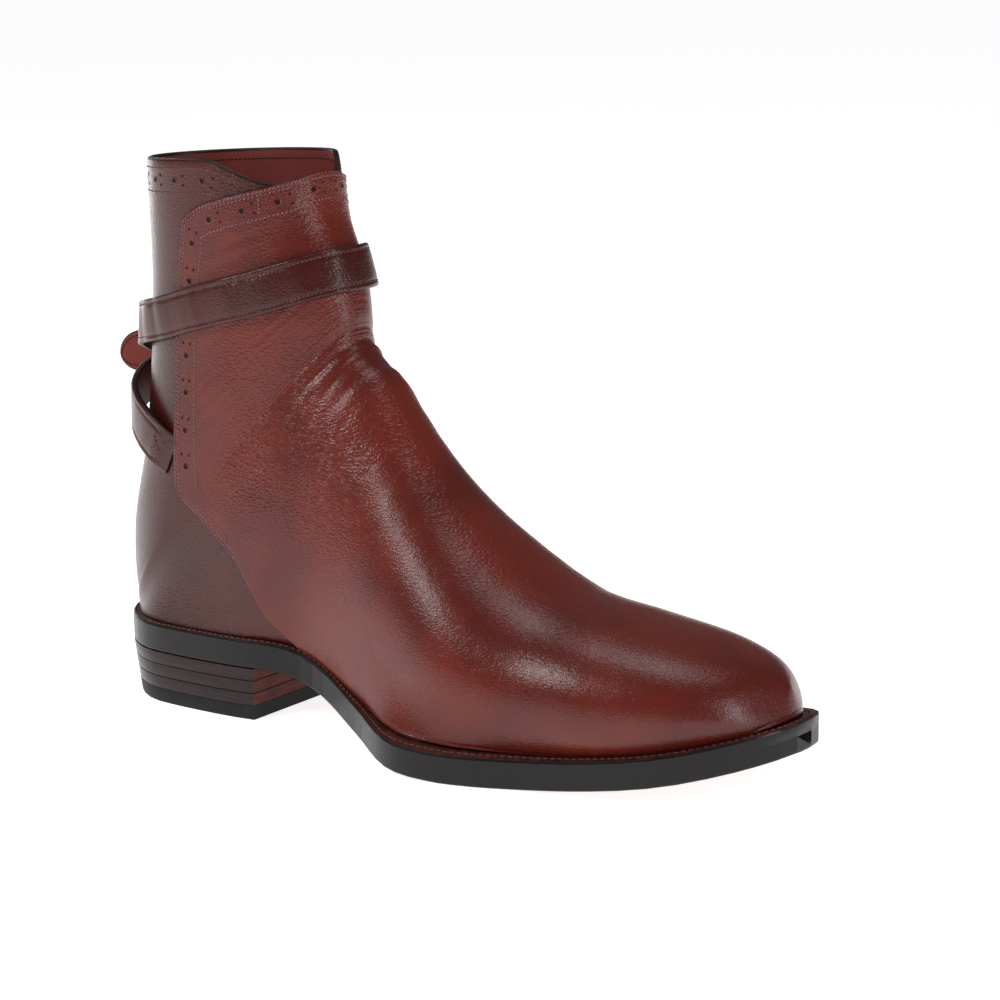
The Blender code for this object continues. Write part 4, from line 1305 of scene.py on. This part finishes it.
@dataclass
class Straps:
    """The two straps, swept round the shaft as the solids are, with finer steps and edges."""

    last: Last
    finishes: dict
    width: float = 0.0168
    thickness: float = 0.0026
    tip_length: float = 0.0842
    tip_drop: float = 0.33
    tip_curl: float = 30.0
    step: float = 6.0
    skive: float = 0.62
    skive_length: float = 0.011
    tuck: float = 0.0030
    stitch_inset: float = 0.82
    tail_steps: int = 30
    end_angles: tuple = (8.0, 16.0, 24.0, 32.0, 40.0, 48.0, 56.0, 64.0, 72.0, 80.0, 85.0, 88.5)
    slot_length: float = 0.0136
    slot_width: float = 0.0032
    turn_steps: tuple = ((8.4, 1.20), (26.4, 0.70), (44.0, 1.25))
    sheet_half_columns: int = 10
    # Columns: angle round the shaft, height share, standoff as a share of the thickness
    long_route: tuple = (
        (-52.0, 0.395, 0.23), (-40.0, 0.450, 0.38), (-20.0, 0.540, 0.62), (0.0, 0.605, 1.15),
        (18.0, 0.636, 1.15), (45.0, 0.660, 0.92), (80.0, 0.690, 0.92), (110.0, 0.712, 0.92),
        (141.0, 0.738, 1.00), (160.0, 0.764, 1.15), (180.0, 0.780, 1.15), (200.0, 0.769, 1.00),
        (219.0, 0.746, 0.92), (242.0, 0.720, 0.92), (266.0, 0.693, 1.77), (278.0, 0.680, 2.23),
        (290.0, 0.662, 2.38),
    )
    short_route: tuple = (
        (57.0, 0.380, 0.23), (40.0, 0.412, 0.80), (18.0, 0.456, 1.75), (0.0, 0.494, 2.23),
        (-18.0, 0.532, 2.20), (-40.0, 0.580, 1.88), (-60.0, 0.618, 1.31), (-74.0, 0.645, 0.92),
    )
    # Half of the section from its rounded edge to its middle: inset from the edge and height,
    # both as shares of the thickness
    half_section: tuple = (
        (0.30, 0.00), (0.08, 0.08), (0.00, 0.32), (0.00, 0.68), (0.09, 0.91), (0.30, 1.00),
        (0.62, 0.985), (0.82, 0.90), (1.04, 0.985), (1.60, 1.03),
    )

    def axis(self) -> np.ndarray:
        """Foot of the shaft's axis."""
        return np.array([float(self.last.x_at(self.last.axis_station)), 0.0, 0.0])

    def sheet_tree(self) -> BVHTree:
        """Search tree of the same coarse sheet that the solid straps are wrapped on.

        Returns:
            The search tree.
        """
        turns = [0.0]
        for end, step in self.turn_steps:
            start = turns[-1]
            count = round((end - start) / step)
            turns += [start + (end - start) * (i + 1) / count for i in range(count)]
        around = np.linspace(-1.0, 1.0, 2 * self.sheet_half_columns + 1)
        grid = self.last.point(np.array(turns)[:, None], around[None])
        points = [Vector(point) for point in grid.reshape(-1, 3)]
        return BVHTree.FromPolygons(points, quad_grid(len(turns), len(around)).tolist())

    def path(self, tree: BVHTree, route: tuple) -> tuple:
        """Points and cross directions of a strap's route, lifted clear of the leather.

        Args:
            tree: Search tree of the sheet under the strap.
            route: Rows of angle, height share and standoff share.

        Returns:
            Points, and cross directions.
        """
        order = 1.0 if route[-1][0] > route[0][0] else -1.0
        keys = column(route, 0, order)
        places = np.linspace(keys[0], keys[-1], round((keys[-1] - keys[0]) / self.step) + 1)
        shares = curve_through(keys, column(route, 1), places)
        heights = self.last.seat + self.last.upper_height * shares
        standoffs = self.thickness * curve_through(keys, column(route, 2), places)
        points = []
        for key, height in zip(places, heights):
            turn = math.radians(order * key)
            start = Vector(self.axis()) + Vector((0.0, 0.0, float(height)))
            points.append(tree.ray_cast(start, Vector((-math.cos(turn), -math.sin(turn), 0.0)))[0])
        points = np.array(points)
        normals = np.array([tree.find_nearest(Vector(point))[1] for point in points])
        across = unit(np.cross(normals, np.gradient(points, axis=0)))
        across = across * np.sign(across[:, 2:3])
        for _ in range(3):
            points[1:-1] = (points[:-2] + 2.0 * points[1:-1] + points[2:]) / 4.0
            across[1:-1] = unit(across[:-2] + 2.0 * across[1:-1] + across[2:])
            for i, standoff in enumerate(standoffs):
                short = -1.0
                for share in (-0.5, -0.25, 0.0, 0.25, 0.5):
                    spot = points[i] + across[i] * self.width * share
                    near, normal = tree.find_nearest(Vector(spot))[:2]
                    clear = float(np.dot(spot - np.array(near), np.array(normal)))
                    short = max(short, standoff - clear)
                points[i] = points[i] + np.array(tree.find_nearest(Vector(points[i]))[1]) * short
        return points, across

    def refined(self, rows: np.ndarray, times: int = 4) -> np.ndarray:
        """Rows with smooth rows put in between.

        Args:
            rows: Rows to join.
            times: Steps between two rows.

        Returns:
            The finer rows.
        """
        padded = np.concatenate([[2.0 * rows[0] - rows[1]], rows, [2.0 * rows[-1] - rows[-2]]])
        out = []
        for a, b, c, d in zip(padded, padded[1:], padded[2:], padded[3:]):
            for u in np.arange(times) / times:
                out.append(b + 0.5 * u * ((c - a) + u * (2.0 * a - 5.0 * b + 4.0 * c - d
                                                        + u * (3.0 * (b - c) + d - a))))
        return np.array(out + [rows[-1]])

    def long_strap(self, tree: BVHTree) -> tuple:
        """Points, cross directions and widths of the long strap with its free end.

        Args:
            tree: Search tree of the sheet under the strap.

        Returns:
            Points, cross directions and widths.
        """
        points, across = self.path(tree, self.long_route)
        forward = points[-1] - points[-2]
        forward[2] = 0.0
        forward = unit(forward)
        body = self.tip_length - self.width / 2.0
        angles = np.radians(self.end_angles)
        straight = body * np.arange(1, self.tail_steps + 1) / self.tail_steps
        lengths = np.concatenate([straight, body + self.width / 2.0 * np.sin(angles)])
        tail, point, travelled = [], points[-1], 0.0
        for length in lengths:
            curl = math.radians(self.tip_curl) * ((length + travelled) / 2.0 / self.tip_length) ** 2
            turned = np.array([
                forward[0] * math.cos(curl) - forward[1] * math.sin(curl),
                forward[0] * math.sin(curl) + forward[1] * math.cos(curl), -self.tip_drop,
            ])
            point = point + unit(turned) * (length - travelled)
            tail.append(point)
            travelled = length
        points, body_across = self.refined(points), self.refined(across)
        even = np.full(len(points) + self.tail_steps, self.width)
        widths = np.concatenate([even, self.width * np.cos(angles)])
        across = np.concatenate([body_across, np.repeat(across[-1:], len(tail), 0)])
        return np.concatenate([points, np.array(tail)]), across, widths

    def frames(self, points: np.ndarray, across: np.ndarray) -> tuple:
        """Across and outward directions along a strap.

        Args:
            points: Middle points of the strap.
            across: Rough cross directions.

        Returns:
            Across and outward directions, square to the strap.
        """
        forward = unit(np.gradient(points, axis=0))
        across = unit(across - forward * np.sum(across * forward, axis=1, keepdims=True))
        outward = np.cross(forward, across)
        level = (points - self.axis()) * np.array([1.0, 1.0, 0.0])
        return across, outward * np.sign(np.sum(outward * level, axis=1, keepdims=True))

    def sweep(
        self, name: str, points: np.ndarray, across: np.ndarray, widths: np.ndarray,
    ) -> bpy.types.Object:
        """Sweep a strap's section: leather outside, dyed edges and lining inside, its start skived.

        Args:
            name: Name of the piece.
            points: Middle points of the strap.
            across: Cross directions.
            widths: Width at each point.

        Returns:
            The new object.
        """
        arc = np.linalg.norm(points - points[0], axis=1)
        thin = 1.0 - self.skive * (1.0 - smooth_step(arc / self.skive_length))
        across, outward = self.frames(points, across)
        t = self.thickness
        left = [(-self.width / 2.0 + inset * t, height * t) for inset, height in self.half_section]
        right = [(-a, h) for a, h in reversed(left)]
        section = left + right
        grid = []
        for point, a, n, width, share in zip(points, across, outward, widths, thin):
            grid.append([point + a * place * width / self.width + n * height * share
                         for place, height in section])
        count, steps = len(section), len(points)
        faces = quad_grid(steps, count, closed=True).tolist()
        faces.append(list(range(count)))
        faces.append([(steps - 1) * count + k for k in reversed(range(count))])
        edge = set(range(0, 4)) | set(range(count - 5, count - 1))
        ring = [1 if k == count - 1 else (2 if k in edge else 0) for k in range(count)]
        made = [self.finishes[n] for n in ("strap_leather", "lining_leather", "folded_edge")]
        return add_mesh(name, np.array(grid), faces, made, ring * (steps - 1) + [2, 2], 50.0)

    def edge_trails(
        self, points: np.ndarray, across: np.ndarray, widths: np.ndarray, under: bool = False,
    ) -> list:
        """Stitch trails along both edges, on the leather or on the lining.

        Args:
            points: Middle points of the strap.
            across: Cross directions.
            widths: Width at each point.
            under: Whether the stitches lie on the lining.

        Returns:
            One trail for each edge.
        """
        across, outward = self.frames(points, across)
        inset = self.thickness * self.stitch_inset
        keep = widths > 2.6 * inset
        height, sign = (0.0, -1.0) if under else (self.thickness * 0.90, 1.0)
        trails = []
        for side in (-1.0, 1.0):
            line = points + across * ((widths / 2.0 - inset)[:, None] * side) + outward * height
            trails.append(Trail(line[keep], outward[keep] * sign))
        return trails

    def cut_slot(
        self, strap: bpy.types.Object, prong: bpy.types.Object, points: np.ndarray, across: np.ndarray,
    ) -> None:
        """Cut the slot that the prong comes up through.

        Args:
            strap: The long strap.
            prong: The solid prong.
            points: Middle points of the strap.
            across: Cross directions of the strap.
        """
        corners = np.array([prong.matrix_world @ vertex.co for vertex in prong.data.vertices])
        k = int(np.linalg.norm(points - corners.mean(axis=0), axis=1).argmin())
        side, outward = (rows[k] for rows in self.frames(points, across))
        forward = np.cross(side, outward)
        bpy.ops.object.select_all(action="DESELECT")
        bpy.ops.mesh.primitive_cube_add(size=1.0)
        cutter = bpy.context.object
        for vertex in cutter.data.vertices:
            a, b, c = vertex.co
            vertex.co = (points[k] + forward * a * self.slot_length + side * b * self.slot_width
                         + outward * c * self.thickness * 5.0)
        cut = strap.modifiers.new("slot", "BOOLEAN")
        cut.object = cutter
        cut.solver = "EXACT"
        select_only(strap)
        bpy.ops.object.modifier_apply(modifier="slot")
        bpy.data.objects.remove(cutter, do_unlink=True)

    def build(self, work: Needlework) -> None:
        """Build both straps and their stitching.

        Args:
            work: Lays the stitches.
        """
        tree = self.sheet_tree()
        points, across, widths = self.long_strap(tree)
        strap = self.sweep("long_strap_leather", points, across, widths)
        self.cut_slot(strap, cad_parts["buckle_prong"], points, across)
        finish_piece(strap, "long_strap", "long_strap")
        trails = self.edge_trails(points, across, widths)
        work.sew("long_strap_stitching", trails, "red_thread", "long_strap", 0.85, 0.2)
        tail = slice(-self.tail_steps - 2, None)
        under = self.edge_trails(points[tail], across[tail], widths[tail], under=True)
        work.sew("strap_end_stitching", under, "dark_thread", "long_strap", 0.85)
        points, across = (self.refined(rows) for rows in self.path(tree, self.short_route))
        points = np.concatenate([[points[0] + self.tuck * unit(points[0] - points[1])], points])
        across = np.concatenate([across[:1], across])
        widths = np.full(len(points), self.width)
        strap = self.sweep("buckle_strap_leather", points, across, widths)
        finish_piece(strap, "buckle_strap", "buckle_strap")
        trails = self.edge_trails(points, across, widths) + self.cross_stitch(points, across)
        work.sew("buckle_strap_stitching", trails, "red_thread", "buckle_strap", 0.85, 0.2)

    def cross_stitch(
        self, points: np.ndarray, across: np.ndarray, place: int = 5, reach: float = 0.0026,
    ) -> list:
        """Two short crossed seams where the buckle strap is sewn on.

        Args:
            points: Middle points of the strap.
            across: Cross directions.
            place: Number of the point that the seams cross at.
            reach: Half length of a seam, along the strap and across it.

        Returns:
            The two trails.
        """
        across, outward = self.frames(points, across)
        forward = unit(points[place + 1] - points[place - 1])
        middle = points[place] + outward[place] * self.thickness * 1.03
        arms = [reach * (forward + across[place] * turn) for turn in (-1.0, 1.0)]
        normals = np.array([outward[place], outward[place]])
        return [Trail(np.array([middle - arm, middle + arm]), normals) for arm in arms]


@dataclass
class Buckle:
    """Brass frame and prong over the long strap."""

    finishes: dict

    def build(self) -> None:
        """Give the buckle's solids their rounded brass."""
        for node in ("buckle_frame", "buckle_prong"):
            piece = copy_node(node, node + "_brass")
            piece.data.materials.append(self.finishes["buckle_brass"])
            smooth = piece.modifiers.new("rounding", "SUBSURF")
            smooth.levels = smooth.render_levels = 1
            select_only(piece)
            bpy.ops.object.modifier_apply(modifier="rounding")
            shade(piece, 60.0)
            finish_piece(piece, node, node)


# Sole


def copy_node(node: str, name: str) -> bpy.types.Object:
    """Copy a solid's mesh, merge its doubles and clear its materials.

    Args:
        node: Name of the solid.
        name: Name of the copy.

    Returns:
        The new object.
    """
    piece = bpy.data.objects.new(name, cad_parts[node].data.copy())
    bpy.context.scene.collection.objects.link(piece)
    piece.data.materials.clear()
    tidy_mesh(piece, 1e-6)
    return piece


@dataclass
class SoleUnit:
    """Outsole, welt, heel lifts and insole, copied from the solids with broken edges."""

    last: Last
    finishes: dict
    outsole_rim: float = 0.0012
    welt_rim: float = 0.0009
    lift_rim: float = 0.00025
    rubber_rim: float = 0.0005
    level_face: float = 0.7
    seam_share: float = 0.42

    def layer(
        self, node: str, name: str, width: float, facing: float, stretch: float = 0.0,
    ) -> bpy.types.Object:
        """Copy one layer of the sole and round its rim.

        Args:
            node: The solid's name.
            name: Name of the new piece.
            width: Width of the rounded rim.
            facing: 1 to round the upper rim, -1 the lower one, 0 both.
            stretch: How far the upper face moves up to meet the next layer.

        Returns:
            The new object.
        """
        piece = copy_node(node, name)
        data = piece.data
        level = [face for face in data.polygons if abs(face.normal.z) > self.level_face]
        if stretch:
            raised = {index for face in level if face.normal.z > 0.0 for index in face.vertices}
            for index in raised:
                data.vertices[index].co.z += stretch
        upright = [face for face in data.polygons if abs(face.normal.z) <= self.level_face]
        rims = {key for face in level if face.normal.z * facing >= 0.0 for key in face.edge_keys}
        walls = {key for face in upright for key in face.edge_keys}
        weights = data.attributes.new("bevel_weight_edge", "FLOAT", "EDGE")
        for edge in data.edges:
            weights.data[edge.index].value = 1.0 if edge.key in rims and edge.key in walls else 0.0
        bevel = piece.modifiers.new("rim", "BEVEL")
        bevel.width = width
        bevel.segments = 3
        bevel.limit_method = "WEIGHT"
        select_only(piece)
        bpy.ops.object.modifier_apply(modifier="rim")
        shade(piece, 20.0)
        return piece

    def paint(self, piece: bpy.types.Object, names: list, rule: Callable) -> None:
        """Give each face the slot that a rule on its centre and normal names.

        Args:
            piece: Piece to paint.
            names: Finishes in slot order.
            rule: Returns the slot for a centre and a normal.
        """
        for name in names:
            piece.data.materials.append(self.finishes[name])
        for face in piece.data.polygons:
            face.material_index = rule(face.center, face.normal)

    def build(self, work: Needlework) -> None:
        """Build the whole sole.

        Args:
            work: Lays the stitches.
        """
        outsole = self.layer("outsole", "leather_outsole", self.outsole_rim, -1.0, self.last.gap)
        self.paint(outsole, ["edge_black", "sole_leather"], lambda c, n: int(n.z < -0.75))
        finish_piece(outsole, "outsole", "outsole")
        welt = self.layer("welt", "stitched_welt", self.welt_rim, 1.0)
        self.paint(welt, ["edge_black", "welt_leather"], lambda c, n: int(n.z > 0.75))
        finish_piece(welt, "welt", "welt")
        for i in (1, 2, 3):
            lift = self.layer("heel_lift_%d" % i, "stacked_lift_%d" % i, self.lift_rim, 0.0)
            self.paint(lift, ["heel_stack", "breast_leather"], lambda c, n: int(n.x > 0.9))
            finish_piece(lift, "heel_lift_%d" % i, "heel_lift_%d" % i)
        rubber = self.layer("top_lift", "rubber_top_lift", self.rubber_rim, 0.0)
        self.paint(rubber, ["top_rubber"], lambda c, n: 0)
        finish_piece(rubber, "top_lift", "top_lift")
        insole = self.layer("insole", "leather_insole", self.rubber_rim, 1.0)
        self.paint(insole, ["insole_leather"], lambda c, n: 0)
        finish_piece(insole, "insole", "insole")
        work.sew("welt_stitching", [self.welt_trail(self.seam_share)], "red_thread", "welt", 1.35)

    def welt_trail(self, share: float) -> Trail:
        """Trail round the welt's upper face, at a share of its width from its edge.

        Args:
            share: Share of the welt's width.

        Returns:
            The trail.
        """
        stations = 0.5 - 0.5 * np.cos(np.linspace(0.04, math.pi - 0.04, 260))
        lines = []
        for side in Side:
            inset = share * self.last.welt_reach(stations)
            middle = self.last.half_width(np.clip(stations, 0.12, 0.80), side)
            half = self.last.half_width(stations, side) * (middle - inset) / middle
            back, front = share * self.last.reach_back, share * self.last.reach_toe
            place = (back + stations * (self.last.length - back - front)) / self.last.length
            y = self.last.centre_line(place) + side.value * half
            line = np.stack([self.last.x_at(place), y, self.last.welt_top(place)], axis=1)
            lines.append(line if side is Side.OUTER else line[::-1])
        points = np.concatenate(lines)
        return Trail(points, np.repeat([[0.0, 0.0, 1.0]], len(points), 0))


# Studio


@dataclass
class Studio:
    """Pale floor, soft light and the camera at the photograph's angle."""

    azimuth: float = 36.206
    elevation: float = 12.152
    roll: float = -0.780
    distance: float = 0.90939
    target: tuple = (0.1517, 0.0, 0.10483)
    lens: float = 90.285
    shift: tuple = (-0.0322, -0.0262)
    world_light: float = 0.14
    floor_size: float = 60.0
    floor_tone: float = 0.90
    floor_glow: float = 0.85
    boxes: tuple = (
        ("key_box", (-0.60, -1.07, 1.10), (0.12, 0.0, 0.05), (0.75, 0.55), 13.0),
        ("right_box", (1.50, -0.20, 0.40), (0.05, 0.0, 0.12), (0.38, 1.10), 8.0),
        ("rear_box", (-1.35, 0.55, 0.50), (0.0, 0.0, 0.12), (0.40, 1.00), 3.5),
        ("top_box", (0.10, 0.15, 1.70), (0.08, 0.0, 0.0), (1.00, 0.60), 6.5),
    )

    def build(self) -> None:
        """Build the floor, the lights and the camera."""
        self.floor()
        for box in self.boxes:
            self.soft_box(*box)
        world = bpy.data.worlds.new("studio")
        world.use_nodes = True
        sky = world.node_tree.nodes["Background"]
        sky.inputs["Color"].default_value = (1.0, 1.0, 1.0, 1.0)
        sky.inputs["Strength"].default_value = self.world_light
        bpy.context.scene.world = world
        bpy.context.scene.view_settings.view_transform = "Standard"
        self.camera()

    def floor(self) -> None:
        """Lay the pale floor."""
        bpy.ops.object.select_all(action="DESELECT")
        bpy.ops.mesh.primitive_plane_add(size=self.floor_size, location=(0.0, 0.0, -0.0002))
        plane = bpy.context.object
        plane.name = "studio_floor"
        material = bpy.data.materials.new("studio_floor")
        material.use_nodes = True
        shader = material.node_tree.nodes["Principled BSDF"]
        shader.inputs["Base Color"].default_value = (*(self.floor_tone,) * 3, 1.0)
        shader.inputs["Roughness"].default_value = 0.9
        shader.inputs["Specular IOR Level"].default_value = 0.1
        shader.inputs["Emission Color"].default_value = (1.0, 1.0, 1.0, 1.0)
        shader.inputs["Emission Strength"].default_value = self.floor_glow
        plane.data.materials.append(material)

    def soft_box(self, name: str, place: tuple, aim: tuple, size: tuple, power: float) -> None:
        """Hang one soft box, facing a point.

        Args:
            name: Name of the light.
            place: Where it hangs.
            aim: Point that it faces.
            size: Width and height.
            power: Power in watts.
        """
        data = bpy.data.lights.new(name, "AREA")
        data.shape = "RECTANGLE"
        data.size, data.size_y = size
        data.energy = power
        light = bpy.data.objects.new(name, data)
        light.location = place
        light.rotation_euler = (Vector(aim) - Vector(place)).to_track_quat("-Z", "Y").to_euler()
        bpy.context.scene.collection.objects.link(light)

    def camera(self) -> None:
        """Place the camera."""
        angles = (self.azimuth, self.elevation, self.roll)
        azimuth, elevation, roll = (math.radians(angle) for angle in angles)
        level = math.cos(elevation)
        back = Vector((math.sin(azimuth) * level, -math.cos(azimuth) * level, math.sin(elevation)))
        right = (-back).cross(Vector((0.0, 0.0, 1.0))).normalized()
        up = right.cross(-back)
        aside = right * math.cos(roll) + up * math.sin(roll)
        above = up * math.cos(roll) - right * math.sin(roll)
        place = Vector(self.target) + back * self.distance
        data = bpy.data.cameras.new("photo_camera")
        data.sensor_width = 36.0
        data.lens = self.lens
        data.shift_x, data.shift_y = self.shift
        data.clip_end = 100.0
        camera = bpy.data.objects.new("photo_camera", data)
        rows = [(aside[i], above[i], back[i], place[i]) for i in range(3)]
        camera.matrix_world = Matrix(rows + [(0.0, 0.0, 0.0, 1.0)])
        bpy.context.scene.collection.objects.link(camera)
        bpy.context.scene.camera = camera


def main() -> None:
    """Build the dressed boot and its studio."""
    logging.basicConfig(level=logging.INFO)
    finishes = make_finishes()
    last = Last()
    upper = Upper(last, PanelOutline(last), finishes)
    upper.build_shell()
    panel = upper.build_panel()
    work = Needlework(finishes)
    Broguing(upper, Surface.of(last, panel), work).build()
    Straps(last, finishes).build(work)
    Buckle(finishes).build()
    SoleUnit(last, finishes).build(work)
    Studio().build()


if __name__ == "__main__":
    main()
